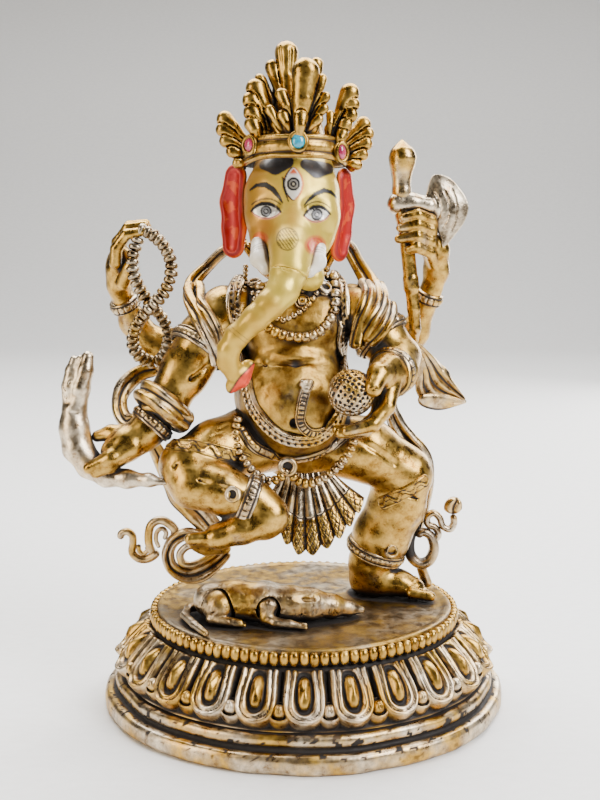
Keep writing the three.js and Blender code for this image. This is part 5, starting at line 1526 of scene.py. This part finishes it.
for name, clay, start, end, share, half, pitch, tilt in (
    ("right_armlet", front_right, (-23, -2, 89), (-34.5, -9, 72.5), 0.62, 2.1, 2.0, (0.1, 0, 0.15)),
    ("left_armlet", front_left, (16, -2, 89), (28, -8, 75), 0.5, 2.0, 1.9, (0, 0, 0)),
    ("right_wristlet", front_right, (-40, -12, 63), (-49.5, -16, 52.5), 0.42, 1.9, 1.8, (0, 0, 0)),
    ("left_wristlet", front_left, (28, -8, 75), (20.5, -20, 73), 0.55, 1.9, 1.8, (0, 0, 0)),
    ("raised_anklet", raised, (-23, -24, 42), (-12.5, -24, 37.5), 0.72, 2.2, 1.9, (0.1, 0, 0)),
    ("standing_anklet", standing, (25, 5, 24), (21, 6.5, 12.5), 0.8, 2.0, 1.9, (0, 0, 0)),
):
    path, out = ring_on(clay, start, end, share, -0.1, tilt)
    hoops = [band(path, out, half, 0.9, 0.6, square_beads(pitch, half - 0.42, half - 1.05), closed=True)]
    if name == "raised_anklet":
        hoops += ring_stone((-19.6, -31.2, 41.6), (-0.3, -1, 0.25), 1.75, 0.65)
    if name == "standing_anklet":
        hoops += ring_stone((26.4, -2.6, 16.6), (0.35, -1, 0.2), 1.7, 0.65)
    add_piece(name + "_cast", made_of(name, hoops), [name], ornament_silver)
for name, clay, start, end, share in (
    ("right_rear_bangle", rear_right, (-52, 11, 85), (-54.5, 8, 92), 0.85),
    ("left_rear_bangle", rear_left, (36.5, 8.5, 90), (38.2, 7, 95), 0.6),
):
    path, out = ring_on(clay, start, end, share, 0.0)
    mesh = made_of(name, [band(path, out, 1.9, 0.8, 0.6, square_beads(1.5, 1.5, 0.9), closed=True)])
    add_piece(name, mesh, [], ornament_silver)

# ---- Prayer beads, radish, axe and sweet ball ----
# The four things held are cast apart and soldered into the hands: a looped string of ribbed beads, a white
# radish with its leaves tied by a cord, a long-handled axe and a ball of sweetmeat pricked all over.
bead_path = curve([
    (-47, -2, 113.0), (-43.4, -3.4, 111.4), (-39.8, -5, 107.5), (-38.2, -6, 102.5), (-39.4, -7, 97),
    (-42.6, -7.6, 92.6), (-46.4, -7.4, 88.8), (-49.2, -6, 84.5), (-50.2, -4, 79.8), (-48.2, -2, 75.8),
    (-44.6, 0, 74.2), (-41.4, 0.4, 76.6), (-40.2, 0, 82), (-41.6, -0.8, 87), (-44.4, -2.8, 91),
    (-47.4, -3.8, 95.4), (-49.4, -3.4, 100), (-49.8, -3, 105), (-48.4, -2, 110),
])
bead_silver = aged_metal("bead_silvering", 0.3, 0.62, 0.26, 0.1)
bead_facing = np.tile([0.0, -1, 0], (len(bead_path), 1))
beads_held = bead_string("prayer_beads", bead_path, bead_facing, 1.95, 2.05, bead_silver)
add_piece("prayer_beads_cast", beads_held, ["prayer_beads"], None)

radish = Clay((-72, -27, 39), (-36, -9, 80), 0.3)
radish.rods([(-39.2, -24, 43.2, 0.8), (-43.6, -22.8, 43.6, 1.6), (-50, -20.6, 43.4, 2.4),
    (-56.4, -18.6, 43.9, 3.0), (-61.2, -17.6, 46.8, 3.7)], 2)
radish.rods([(-61.2, -17.6, 46.8, 3.7), (-64.8, -16.4, 51.6, 4.1), (-65.8, -15.6, 57, 4.05),
    (-65.8, -15, 61.8, 3.6)], 2)
radish.rods([(-65.2, -15, 61.8, 2.9), (-63.8, -15, 68.5, 2.7), (-62.4, -14.6, 73.5, 2.3),
    (-61.6, -14, 77.4, 1.7)], 1)
radish.carve([(-66.4, -18.4, 64.6, 0.5), (-65.6, -17.8, 70, 0.4), (-64.4, -16.6, 75, 0.4)], 0.3)
radish.rods([(-67.2, -14.8, 63, 2.0), (-66.8, -14.4, 69, 2.5), (-66.2, -14.0, 73.6, 2.0),
    (-65.6, -13.6, 76.4, 1.3)], 0.5)
radish.rods([(-66.0, -14.9, 63, 2.4), (-65.4, -14.6, 69, 2.3), (-64.4, -14.2, 74, 1.8),
    (-63.6, -14.0, 76.8, 1.2)], 0.5)
for vein in range(4):
    radish.carve([(-67.8, -16.5, 66 + vein * 2.2, 0.2), (-66.2, -16.4, 68.4 + vein * 2.2, 0.22)], 0.2)
    radish.carve([(-67.9, -16.5, 66 + vein * 2.2, 0.2), (-69.2, -15.4, 68 + vein * 2.2, 0.2)], 0.2)
for level in (62.0, 63.9):
    radish.carve([(-70.2, -16.2, level, 0.35), (-67.6, -19.0, level + 0.2, 0.4),
        (-63.6, -18.4, level - 0.2, 0.3)], 0.25)
radish.rods([(-68.2, -15.6, 55.6, 1.0), (-68.5, -15.4, 55.9, 0.95)], 0.5)
radish_metal = aged_metal("radish_silvering", 0.12, 1.12, 0.3, 0.12)
cast_piece("radish_cast", radish, ["radish"], radish_metal, unevenness(6, 0.12, 81))

handle = Clay((24, -5, 76), (36, 5, 140), 0.3)
handle.rods([(28.2, 0, 138.3, 0.5), (28.3, 0, 136.6, 1.7), (28.4, 0, 133.8, 3.9), (28.3, 0, 131.6, 3.5),
    (28.2, 0, 129.4, 2.9)], 0.8)
handle.rods([(28.2, 0, 130, 2.8), (28.3, 0, 124, 2.7), (28.8, 0, 117, 2.3)], 0.8)
handle.rods([(28.8, 0, 118, 2.3), (30.0, 0, 110, 2.1), (31.3, 0, 99, 2.1)], 0.5)
handle.rods([(31.3, 0, 99, 2.0), (32.4, 0.5, 90, 1.9), (33.0, 1, 84, 1.7), (32.6, 2, 80, 1.5)], 0.5)
for level, x in ((98.6, 31.35), (96.8, 31.55)):
    handle.rods([(x, 0, level, 2.35), (x + 0.02, 0, level - 0.5, 2.35)], 0.3)
axe_metal = aged_metal("axe_gilding", 0.6, 1.0, 0.22, 0.08)
cast_piece("axe_handle_cast", handle, ["axe_handle"], axe_metal, unevenness(7, 0.1, 82))

blade = Clay((23, -4, 106), (50, 4, 131), 0.24)
blade.rods([(27.4, 0, 120.6, 3.3), (31, 0, 120.8, 2.9), (36, 0, 120.2, 2.6)], 1.0)
rim = curve([(35.2, 0, 123.2), (35.8, 0, 126.0), (37.2, 0, 128.8), (40.2, 0, 128.9), (43.4, 0, 127.2),
    (46.6, 0, 123.4), (48.0, 0, 119.4),
             (46.9, 0, 115.4), (44.4, 0, 111.6), (40.6, 0, 107.8), (39.6, 0, 111.6), (37.6, 0, 115.2),
             (35.2, 0, 118.0), (35.2, 0, 123.2)], 0.5)[:, ::2]
flat_x = blade.low[0] + blade.cell * np.arange(blade.field.shape[0])
flat_z = blade.low[2] + blade.cell * np.arange(blade.field.shape[2])
spots = np.stack(np.meshgrid(flat_x, flat_z, indexing="ij"), axis=2).reshape(-1, 2)
gap, crossings = np.full(len(spots), 99.0), np.zeros(len(spots), int)
for one, two in zip(rim, rim[1:]):
    edge_run = two - one
    share = np.clip((spots - one) @ edge_run / max(edge_run @ edge_run, 1e-9), 0, 1)
    gap = np.minimum(gap, np.linalg.norm(spots - one - share[:, None] * edge_run, axis=1))
    spans = (one[1] > spots[:, 1]) != (two[1] > spots[:, 1])
    reach = one[0] + (spots[:, 1] - one[1]) * edge_run[0] / (edge_run[1] if abs(edge_run[1]) > 1e-9 else 1e-9)
    crossings += spans & (spots[:, 0] < reach)
inside = np.where(crossings % 2 == 1, gap, -gap).reshape(len(flat_x), len(flat_z))
half_thick = 0.45 + 1.15 * step_between(inside, 0, 5)
off_middle = np.abs(blade.low[1] + blade.cell * np.arange(blade.field.shape[1]))
plate_gap = np.maximum(-inside[:, None, :] + 0.2, off_middle[None, :, None] - half_thick[:, None, :])
plate_gap = plate_gap.astype(np.float32)
blade.field = np.minimum(blade.field, plate_gap)
for face_side in (-1, 1):
    for arc in range(3):
        mid_x = 39.2 + arc * 2.4
        arc_line = [(mid_x - 1.5 + arc * 0.2, 123.6 + arc * 0.6), (mid_x, 121.4 + arc * 0.3),
            (mid_x + 0.5, 119.2), (mid_x + 0.1, 117 - arc * 0.7), (mid_x - 1.1, 115.2 - arc * 1.3)]
        deep = np.array([blade.front(np.array([x]), np.array([z]))[0] for x, z in arc_line])
        deep = np.nan_to_num(deep, nan=-0.6)
        blade.carve([(x, -face_side * y, z, 0.2) for (x, z), y in zip(arc_line, deep)], 0.12)
blade_metal = aged_metal("blade_silvering", 0.2, 1.1, 0.24, 0.1)
cast_piece("axe_blade_cast", blade, ["axe_blade"], blade_metal, unevenness(8, 0.1, 83))


def pricked(points, centres, size):
    """How deep in a round prick each point lies, from 0 beside it to 1."""
    pits = np.zeros(len(points))
    for start in range(0, len(points), 4000):
        block = points[start:start + 4000]
        gap = np.sqrt(((block[:, None, :] - centres[None]) ** 2).sum(axis=2)).min(axis=1)
        pits[start:start + 4000] = 1 - step_between(gap, size * 0.55, size)
    return pits


sweet_centre, sweet_size, pricks = np.array([13.0, -25.0, 68.9]), 6.55, 230
sweet = Clay(sweet_centre - 8, sweet_centre + 8, 0.2)
sweet.rods([(*sweet_centre, sweet_size)], 0.5)
points, quads = sweet.cast()
spiral = np.arange(pricks) + 0.5
tilt, spin = np.arccos(1 - 2 * spiral / pricks), spiral * math.pi * (1 + 5**0.5)
ways = np.stack([np.cos(spin) * np.sin(tilt), np.sin(spin) * np.sin(tilt), np.cos(tilt)], axis=1)
ways += np.random.default_rng(8).normal(0, 0.03, ways.shape)
pits = pricked(points, sweet_centre + ways * sweet_size, 0.66)
points = sweet_centre + (points - sweet_centre) * (1 + waves(points, 9, 84) * 0.012 - 0.085 * pits)[:, None]
sweet_mesh = made_of("sweet_ball", [(points, quads, pits)])
add_piece("sweet_ball_cast", sweet_mesh, ["sweet_ball"], ornament_silver)

# ---- Scarves ----
# One long fluted scarf, cast in lengths: it comes from behind the neck over both shoulders, winds round the
# arms, flares at the left elbow and hangs in two tails that curl into scrolls beside the feet.
scarf_metal = aged_metal("scarf_silvering", 0.5, 0.95, 0.27, 0.1)


def ribbon(edge_one, edge_two, face, flutes, look, depth=0.55, spacing=0.35):
    """A fluted ribbon between two edge lines, its face turned towards `look`."""
    one, two = curve(edge_one, 0.2), curve(edge_two, 0.2)
    share = np.linspace(0, 1, int(max(len(one), len(two)) * 0.2 / spacing))
    one, two = (resampled(edge, np.linspace(0, 1, len(edge)), share) for edge in (one, two))
    middle, half = (one + two) / 2, np.linalg.norm(one - two, axis=1) / 2
    out = np.cross(np.gradient(middle, axis=0), one - two)
    out *= np.sign((out * look).sum(axis=1, keepdims=True))
    out = unit_rows(out)
    half = np.maximum(half, 0.5)

    def folds(along, side):
        across = side / half[:, None]
        wave = np.cos((across + 1) * math.pi * flutes + 0.35 * np.sin(along * 0.25) + math.pi)
        groove = np.clip(-wave, 0, 1) ** 2
        inner = np.abs(across) < 0.93
        return depth * (np.abs(0.5 + 0.5 * wave) ** 0.6 - 0.6) * 1.6, 0.85 * groove**1.5 * inner

    return band(middle, out, half, face, relief=folds, both=True)


def rope(points, size, flat=1.0, spacing=0.35, around=16):
    """A round cord with tapered ends along a smooth line, as (points, quads, pits)."""
    line = curve(np.asarray(points)[:, :3], spacing)
    where = np.linspace(0, 1, len(line))
    sizes = np.interp(where, np.linspace(0, 1, len(size)), size)
    end_gap = np.minimum(np.arange(len(line)), np.arange(len(line))[::-1]) * spacing
    sizes = sizes * np.sqrt(np.clip(1 - (1 - np.clip(end_gap / sizes, 0, 1)) ** 2, 0.02, 1))
    ahead = unit_rows(np.gradient(line, axis=0))
    side = unit_rows(np.cross(ahead, [0, -1.0, 0.05]))
    out = np.cross(side, ahead)
    turns = round_turns(around)
    points = line[:, None, :] + sizes[:, None, None] * (
        side[:, None, :] * np.cos(turns)[None, :, None]
        + flat * out[:, None, :] * np.sin(turns)[None, :, None]
    )
    quads = tube_quads(len(line), around)
    return points.reshape(-1, 3), quads, np.zeros(len(line) * around)


def folded(along, side):
    """One rolled fold beside a lower one, with a dark crease between them."""
    crease = ridge(side, 0.35 + 0.25 * np.sin(along * 0.3), 0.24)
    return 0.55 * ridge(side, -0.75, 0.7) + 0.2 * ridge(side, 1.2, 0.5) - 0.45 * crease, crease


def draped(clays, line, half_width, lift=0.7):
    """A folded strip lying over the clays, pushed out until it clears them."""
    path = curve(line)
    for _ in range(10):
        for clay in clays:
            gap = clay.depth(path)
            path = path + clay.outward(path) * np.clip(lift - gap, 0, 1.5)[:, None]
    gaps = np.stack([clay.depth(path) for clay in clays])
    facing = np.choose(gaps.argmin(axis=0)[:, None], [clay.outward(path) for clay in clays])
    path, facing = np.split(calmed(np.concatenate([path, facing], axis=1), 15), 2, axis=1)
    return band(path, unit_rows(facing), half_width, 1.1, 1.3, folded)


right_shoulder = [
    ribbon([(-17.5, 9.5, 111.5), (-24.6, 8.5, 108.4), (-30, 8, 103.6), (-35.0, 5, 98.8), (-34.4, -1, 95)],
           [(-16.8, 8.5, 108.5), (-22.8, 8, 105.6), (-27.8, 7.5, 100.8), (-31.2, 4, 96.2),
           (-30.8, -2, 93.5)], 1.0, 2, (-0.5, -0.6, 0.5)),
    draped([front_right, torso],
    [(-34.2, 3, 97.5), (-33.6, -4, 93.5), (-29.4, -13, 86.6), (-26.2, -13.6, 80.4), (-24.8, -12, 73.9)], 2.0),
    draped([front_right, torso],
    [(-31.4, 3, 97.9), (-29.2, -6, 91.5), (-26.3, -11, 86.2), (-24.2, -12.6, 80.4), (-24.0, -12.4, 76)], 1.7),
]
add_piece("right_shoulder_scarf_cast", made_of("right_shoulder_scarf", right_shoulder),
    ["right_shoulder_scarf"], scarf_metal)
left_shoulder = [
    ribbon([(10.6, 9.5, 112), (14.6, 8.5, 109.6), (17.8, 8, 104.4), (22.0, 5, 98.8), (23.2, -1, 95.6)],
           [(9.6, 8.5, 109), (11.2, 8, 107.6), (14.0, 7.5, 102.4), (16.6, 4, 97), (17.0, -2, 95)], 1.0, 2,
           (0.5, -0.6, 0.5)),
    draped([front_left, torso], [(24.6, -3, 92.6), (24.4, -8, 88.4), (22.5, -11, 84.5), (17.9, -13, 80.3)],
    1.9),
    draped([front_left, torso], [(21.5, 3, 98.0), (22.7, -4, 94.6), (20.9, -9, 88.6), (16.6, -12, 80.9)],
    2.1),
    draped([front_left, torso], [(17.6, 3, 98.3), (18.5, -5, 94), (16.4, -9, 87.6), (14.2, -12.4, 78.8)],
    2.3),
]
add_piece("left_shoulder_scarf_cast", made_of("left_shoulder_scarf", left_shoulder), ["left_shoulder_scarf"],
    scarf_metal)
behind_neck = ribbon(
    [(-17.8, 9.5, 110.4), (-11, 13.5, 104), (-3, 15.2, 101.5), (5, 13.5, 104), (10.8, 9.5, 110.8)],
    [(-17.2, 9.5, 107), (-11, 13.5, 98.5), (-3, 15.2, 95.5), (5, 13.5, 98.5), (10.6, 9.5, 108)],
    1.0, 3, (0, 1, 0.2),
)
add_piece("neck_scarf", made_of("neck_scarf", [behind_neck]), [], scarf_metal)

wrap_path, wrap_out = ring_on(front_right, (-40, -12, 63), (-49.5, -16, 52.5), 0.04, 0.9, (0.15, 0, 0.1))


def wrap_folds(along, side):
    groove = ridge(side, 0.2 + 0.5 * np.sin(along * 0.16), 0.32)
    return 0.9 * ridge(side, 1.9, 1.2) + 0.8 * ridge(side, -1.8, 1.2) - 0.5 * groove, groove


wrap = [band(wrap_path, wrap_out, 3.5, 1.2, 1.2, wrap_folds, closed=True)]
wrap.append(ribbon(
    [(-46.0, -15.5, 66.8), (-41.5, -17.8, 67.4), (-36.6, -17.6, 65.2), (-31.6, -15.0, 61.2)],
    [(-46.0, -17.5, 62.2), (-41.0, -19.6, 61.6), (-37.0, -19.2, 58.6), (-33.0, -17.0, 55.0)], 1.0, 2,
    (0, -1, 0.3),
))
wrap.append(ribbon(
    [(-48.6, -13.5, 57.0), (-53.4, -9.5, 56.2), (-57.2, -2, 60.6), (-56.4, 3.4, 67.8), (-50.8, 5.6, 72.2),
    (-44.8, 6.2, 73.4)],
    [(-47.4, -13.5, 61.0), (-50.6, -9.0, 60.2), (-52.8, -1.5, 62.4), (-51.6, 3.2, 65.0), (-48.6, 5.4, 67.8),
    (-44.6, 6.0, 69.0)], 1.0, 2, (0, -1, 0.2),
))
wrap.append(ribbon(
    [(-45.5, 6.2, 73.0), (-40.5, 4.4, 71.4), (-37.5, 1.0, 68.6), (-36.4, -3.0, 66.2)],
    [(-45.0, 6.0, 69.0), (-42, 4.2, 67.4), (-40.4, 1.0, 65.4), (-39.4, -3.0, 63.6)], 0.9, 2, (0, 1, 0.2),
))
add_piece("right_arm_scarf_cast", made_of("right_arm_scarf", wrap), ["right_arm_scarf"], scarf_metal)

elbow = [ribbon(
    [(24.6, -8.6, 81.6), (30.6, -6.4, 81.4), (35.8, -2.4, 78.6), (41.2, 0, 73.4), (45.2, 2, 68.0),
    (49.0, 3.6, 62.6)],
    [(28.0, -14.0, 78.2), (33.0, -8.0, 74.6), (34.6, -4, 68.4), (35.0, -1.4, 63.6), (38.6, 0.6, 60.6),
    (48.2, 3.6, 61.0)],
    1.1, 4, (0.2, -1, 0.2), 0.7,
)]
elbow.append(ribbon(
    [(33.8, -3.2, 65.4), (38.0, -1.2, 65.2), (43.4, 1.2, 64.4), (49.2, 3.6, 62.4)],
    [(34.2, -2.4, 62.2), (37.4, -0.6, 60.2), (42.0, 1.6, 59.4), (49.0, 3.8, 61.2)], 0.9, 1, (0, -1, -0.3),
    0.3,
))
add_piece("left_elbow_scarf_cast", made_of("left_elbow_scarf", elbow), ["left_elbow_scarf"], scarf_metal)

scroll_edges = (
    [(-29.6, 1, 20.6), (-32.2, 0, 22.6), (-36.4, 0, 23.2), (-41.0, 0, 20.8), (-43.6, 0, 15.4),
    (-42.4, 0, 9.8), (-38.2, 0, 6.2), (-33.0, 0, 5.8),
     (-28.4, 0, 8.2), (-24.4, 1, 11.4), (-22.0, 2, 14.2)],
    [(-30.8, 1, 18.4), (-33.2, 0, 19.2), (-36.2, 0, 19.0), (-38.9, 0, 17.2), (-39.8, 0, 14.4),
    (-38.8, 0, 11.6), (-36.6, 0, 10.3), (-33.6, 0, 10.2),
     (-30.2, 0, 11.9), (-27.0, 1, 14.0), (-24.4, 2, 16.6)],
)
tail_right = [
    ribbon([(-51, -3, 58), (-48.6, 1, 51), (-46.4, 4, 44), (-43.4, 4, 36.5), (-41.6, 3, 32),
    (-38.2, 3, 28.6), (-34.6, 2, 25.8), (-30.4, 1, 22.4), (-27.4, 0, 19)],
           [(-47.8, -3, 57.4), (-44.4, 1, 50.4), (-41.6, 4, 44.6), (-38.2, 4, 38.0), (-34.4, 3, 33.4),
           (-30.0, 3, 28.4), (-26.4, 2, 24.4), (-24.0, 1, 20), (-22.6, 0, 16)],
           1.2, 2, (-0.1, -1, 0)),
    ribbon(*scroll_edges, 1.3, 2, (0, -1, 0), 0.9),
    rope([(-31.0, -0.4, 17.4), (-33.4, -0.8, 17.8), (-35.8, -0.8, 17.4), (-37.8, -0.8, 15.2),
    (-37.4, -0.8, 12.6), (-35.4, -0.8, 11.5), (-32.9, -0.6, 11.9), (-29.6, 0, 13.4), (-26.4, 1, 15.4)],
    [1.2, 1.25, 1.2]),
    rope([(-41.2, 0.4, 16.2), (-39.4, 1, 21.6), (-41.9, 1, 24.6), (-44.5, 1, 25.2), (-46.8, 1, 23.7),
    (-47.6, 1, 20.8), (-47.5, 1, 17.6), (-46.4, 1.4, 14.4)], [1.5, 1.35, 1.3]),
    rope([(-42.9, 1.2, 19.0), (-42.2, 1.2, 21.2), (-43.4, 1.2, 22.6), (-45.0, 1.2, 21.5), (-45.4, 1.2, 19.0),
    (-44.4, 1.2, 16.4)], [0.75, 0.7]),
    rope([(-44.8, 1.4, 15.4), (-46.6, 1.8, 13.6), (-48.6, 2, 12.6), (-51.0, 2, 12.8), (-52.9, 2, 14.8),
    (-52.6, 2, 17.8), (-52.8, 2, 20.2), (-54.4, 2, 21.4), (-56.2, 2, 20.6), (-56.2, 2, 18.9)],
    [1.4, 1.3, 1.2, 1.15]),
    rope([(-50.8, 1.4, 17.6), (-50.7, 1.4, 15.6), (-49.5, 1.4, 14.5), (-48.1, 1.4, 15.6), (-48.5, 1.4, 17)],
    [0.75, 0.7]),
]
tail_bronze = aged_metal("tail_bronze", 0.5, 0.95, 0.3, 0.12)
add_piece("right_scarf_tail_cast", made_of("right_scarf_tail", tail_right), ["right_scarf_tail"], tail_bronze)

tail_left = [
    ribbon([(26.2, 6, 80), (25.6, 8, 70), (24.8, 9.5, 60), (25.4, 10, 55.3), (27.6, 10, 49.5),
    (31.4, 10.4, 44.2), (35.4, 11.4, 39.5), (36.6, 12.6, 33), (35.4, 13, 25), (34.2, 12.4, 18.5)],
           [(30.4, 6, 80), (29.8, 8, 70), (28.6, 9.5, 60.5), (31.4, 10, 54.0), (35.2, 10, 48.9),
           (38.8, 10.4, 45.0), (40.6, 11.4, 41.0), (41.0, 12.6, 34), (39.6, 13, 25.6), (37.4, 12.4, 19)],
           1.1, 2, (0.1, -1, 0.1)),
    rope([(35.6, 10.5, 22), (33.4, 9, 17), (33.5, 8.4, 12.2), (36.2, 8.2, 9.3), (39.4, 8.2, 10.2),
    (40.9, 8.2, 14.2), (39.7, 8.2, 18.2), (37.2, 8.2, 19.4), (35.2, 8.2, 18.0)], [1.5, 1.75, 1.7, 1.3], 1.3),
    rope([(36.8, 9, 8.6), (38.0, 10, 5.0), (39.2, 10.4, 1.6), (39.4, 10.4, 0.6)], [1.5, 1.8]),
    rope([(40.4, 8.2, 16.2), (42.2, 8.2, 18.6), (41.0, 8.2, 20.9), (38.9, 8.2, 21.9), (38.5, 8.2, 24.2),
    (40.4, 8.2, 25.6), (42.4, 8.2, 24.0), (43.5, 8.2, 21.3), (45.8, 8.2, 20.4), (46.9, 8.2, 22.4),
    (46.6, 8.2, 25.2)], [1.1, 1.15, 1.1, 1.15], 1.3),
    ribbon([(44.4, 8, 26.0), (43.8, 8, 28.6), (46.2, 8, 31.2)],
    [(48.4, 8, 24.6), (49.4, 8, 27.0), (49.6, 8, 30.0)], 1.3, 2, (0, -1, 0), 0.4),
]
tail_silver = aged_metal("tail_silvering", 0.3, 1.05, 0.26, 0.1)
add_piece("left_scarf_tail_cast", made_of("left_scarf_tail", tail_left), ["left_scarf_tail"], tail_silver)

# ---- Mouse ----
# The deity's mount, a low slinking mouse cast in one piece with its long tail and soldered to the platform.
# Its coat is chased in short ticks and its copper shows through the silvering.
mouse = Clay((-38, -34, -1), (20, -6, 14), 0.26)
mouse.rods([(-27.5, -13.5, 5.0, 5.2), (-20, -15.5, 5.7, 5.8), (-12, -16.8, 5.6, 5.6), (-4, -17.0, 5.2, 5.1)],
    2)
mouse.rods([(-4, -17.0, 5.2, 5.1), (2, -16.6, 4.9, 4.6), (8, -15.4, 3.9, 3.4), (13, -14.0, 2.7, 2.2),
    (17, -12.9, 1.7, 1.1)], 1.5)
mouse.carve([(-24.5, -18.4, 4.6, 5.4)], 0.3, flat=(0.1, 1, 0, 1.1)).rods([(-24.8, -17.6, 4.4, 5.0)], 0.2,
    flat=(0.1, 1, 0, 1.05))
mouse.rods([(-27.0, -20.6, 1.7, 1.6), (-21, -22.4, 1.5, 1.35), (-18.6, -22.8, 1.3, 1.1)], 0.2)
mouse.carve([(-10.4, -20.6, 5.0, 3.9)],
    0.3).rods([(-10.6, -19.8, 5.0, 3.5), (-10.8, -21.2, 2.6, 2.2), (-8.4, -22.8, 1.6, 1.5)], 0.25)
mouse.rods([(-8.4, -23.0, 1.6, 1.5), (-4, -24.0, 1.4, 1.25), (-1.4, -24.4, 1.1, 0.95)], 0.4)
for toe in range(3):
    mouse.rods([(-2.4, -24.6 + toe * 0.9, 1.0, 0.7), (0.4, -25.2 + toe * 1.2, 0.8, 0.55)], 0.15)
    mouse.rods([(-20, -23.2 + toe * 0.8, 1.0, 0.7), (-17.2, -23.6 + toe * 0.9, 0.8, 0.55)], 0.15)
ear_ring = hoop((1.4, -20.0, 7.6), (0.1, -0.8, 0.6), 2.9, 1.5, 14)
mouse.rods([(*spot, 0.5) for spot in [*ear_ring, ear_ring[0]]],
    0.15).carve([(0.0, -20.6, 7.7, 0.6), (2.8, -20.4, 7.4, 0.5)], 0.3)
eye_ring = hoop((8.4, -17.9, 5.4), (0.2, -0.8, 0.55), 1.2, 0.8, 12)
mouse.rods([(*spot, 0.26) for spot in [*eye_ring, eye_ring[0]]], 0.1).rods([(8.4, -17.6, 5.3, 0.6)], 0.1)
mouse.carve([(14.8, -15.2, 1.7, 0.22), (11.6, -16.3, 1.8, 0.22)], 0.15)
mouse.rods([(-30, -10.5, 2.2, 1.6), (-34.4, -11, 1.6, 1.3), (-35.0, -16.8, 1.4, 1.25),
    (-31.6, -24, 1.3, 1.15), (-27.6, -30.4, 1.1, 0.9)], 0.5)
mouse.cut_below(0.35)
chance = np.random.default_rng(12)
tick_x, tick_z = chance.uniform(-31, 12, 230), chance.uniform(1.6, 11, 230)
tick_y = mouse.front(tick_x, tick_z)
for x, y, z in zip(tick_x, tick_y, tick_z):
    if not math.isnan(y):
        mouse.carve([(x, y - 0.05, z, 0.16), (x + 0.35, y - 0.1, z + 0.95, 0.2)], 0.1)
mouse_metal = aged_metal("mouse_copper", 0.5, 0.85, 0.33, 0.3)
cast_piece("mouse_cast", mouse, ["mouse"], mouse_metal, unevenness(6, 0.12, 91))

# ---- Fixings ----
# The tenon, its washer and the pegs in the neck and shoulders are turned copper rod, hidden in the joints.
for name in (
    "foot_tenon", "tenon_washer", "neck_dowel", "right_front_dowel", "right_rear_dowel", "left_front_dowel",
    "left_rear_dowel",
):
    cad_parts[name].data.materials.clear()
    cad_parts[name].data.materials.append(copper_sheet)

# ---- Patina and painted shade ----
# The finished statue is dipped to blacken it and then rubbed back, so the dark stays in every hollow, under
# every ornament and between the beads, and the high places shine. The same dark stands in for shade too: it
# is painted shade as well as patina. How closed-in each point is comes from how much metal lies round it.
patina_cell = 0.8 * quick_share
pieces = [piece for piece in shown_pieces() if piece.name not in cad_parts]


def mesh_arrays(mesh):
    """Points in millimetres, their normals and the edges of a mesh."""
    points, normals = np.zeros((2, len(mesh.vertices) * 3), np.float32)
    mesh.vertices.foreach_get("co", points)
    mesh.vertex_normals.foreach_get("vector", normals)
    edges = np.zeros(len(mesh.edges) * 2, np.int32)
    mesh.edges.foreach_get("vertices", edges)
    return points.reshape(-1, 3) * 1000, normals.reshape(-1, 3), edges.reshape(-1, 2)


def triangles_of(mesh):
    mesh.calc_loop_triangles()
    corners = np.zeros(len(mesh.loop_triangles) * 3, np.int32)
    mesh.loop_triangles.foreach_get("vertices", corners)
    return corners.reshape(-1, 3)


everything, faces, start = [], [], 0
for piece in pieces:
    points, _, _ = mesh_arrays(piece.data)
    everything.append(points)
    faces.append(triangles_of(piece.data) + start)
    start += len(points)
everything, faces = np.concatenate(everything), np.concatenate(faces)
low = everything.min(axis=0) - 12
size = np.ceil((everything.max(axis=0) + 12 - low) / patina_cell).astype(int)
shell = openvdb.FloatGrid.createLevelSetFromPolygons(
    ((everything - low) / patina_cell).astype(np.float32), triangles=faces.astype(np.uint32), halfWidth=3.0,
)
metal = np.zeros(size, np.float32)
shell.copyToArray(metal)
metal = np.clip(0.5 - metal, 0, 1)


def eased(field, radius):
    """The field averaged over a soft ball of about the radius, by two passes of a running mean."""
    width = max(1, int(round(radius / patina_cell)))
    for _ in range(2):
        for axis in range(3):
            margins = [(width + 1, width) if side == axis else (0, 0) for side in range(3)]
            total = np.cumsum(np.pad(field, margins, "edge"), axis=axis, dtype=np.float64)
            high = np.take(total, range(2 * width + 1, total.shape[axis]), axis=axis)
            low_part = np.take(total, range(0, total.shape[axis] - 2 * width - 1), axis=axis)
            field = ((high - low_part) / (2 * width + 1)).astype(np.float32)
    return field


near, wide = eased(metal, 1.6), eased(metal, 4.0)


for piece in pieces:
    mesh = piece.data
    points, normals, edges = mesh_arrays(mesh)
    around, count = np.zeros(points.shape), np.zeros(len(points))
    span = np.linalg.norm(points[edges[:, 0]] - points[edges[:, 1]], axis=1)
    reach = np.zeros(len(points))
    for one, two in ((0, 1), (1, 0)):
        for axis in range(3):
            around[:, axis] += np.bincount(edges[:, one], points[edges[:, two], axis], len(points))
        count += np.bincount(edges[:, one], minlength=len(points))
        reach += np.bincount(edges[:, one], span, len(points))
    count = np.maximum(count, 1)
    dip = ((around / count[:, None] - points) * normals).sum(axis=1) / np.maximum(reach / count, 1e-3)
    close = sampled(near, low, patina_cell, points + normals * 0.9)
    far = sampled(wide, low, patina_cell, points + normals * 2.4)
    # Patina and painted shade: darker the more closed-in the point is, near and far, the more hollow the
    # surface is, and where pits are laid on.
    hollow = 0.9 * step_between(close, 0.34, 0.66) + 0.55 * step_between(far, 0.3, 0.62)
    hollow += 0.9 * step_between(dip, 0.05, 0.4) - 0.35 * step_between(-dip, 0.06, 0.3)
    if "pit" in mesh.attributes:
        pits = np.zeros(len(points), np.float32)
        mesh.attributes["pit"].data.foreach_get("value", pits)
        hollow += pits
    set_values(mesh, "hollow", np.clip(hollow, 0, 1.2))
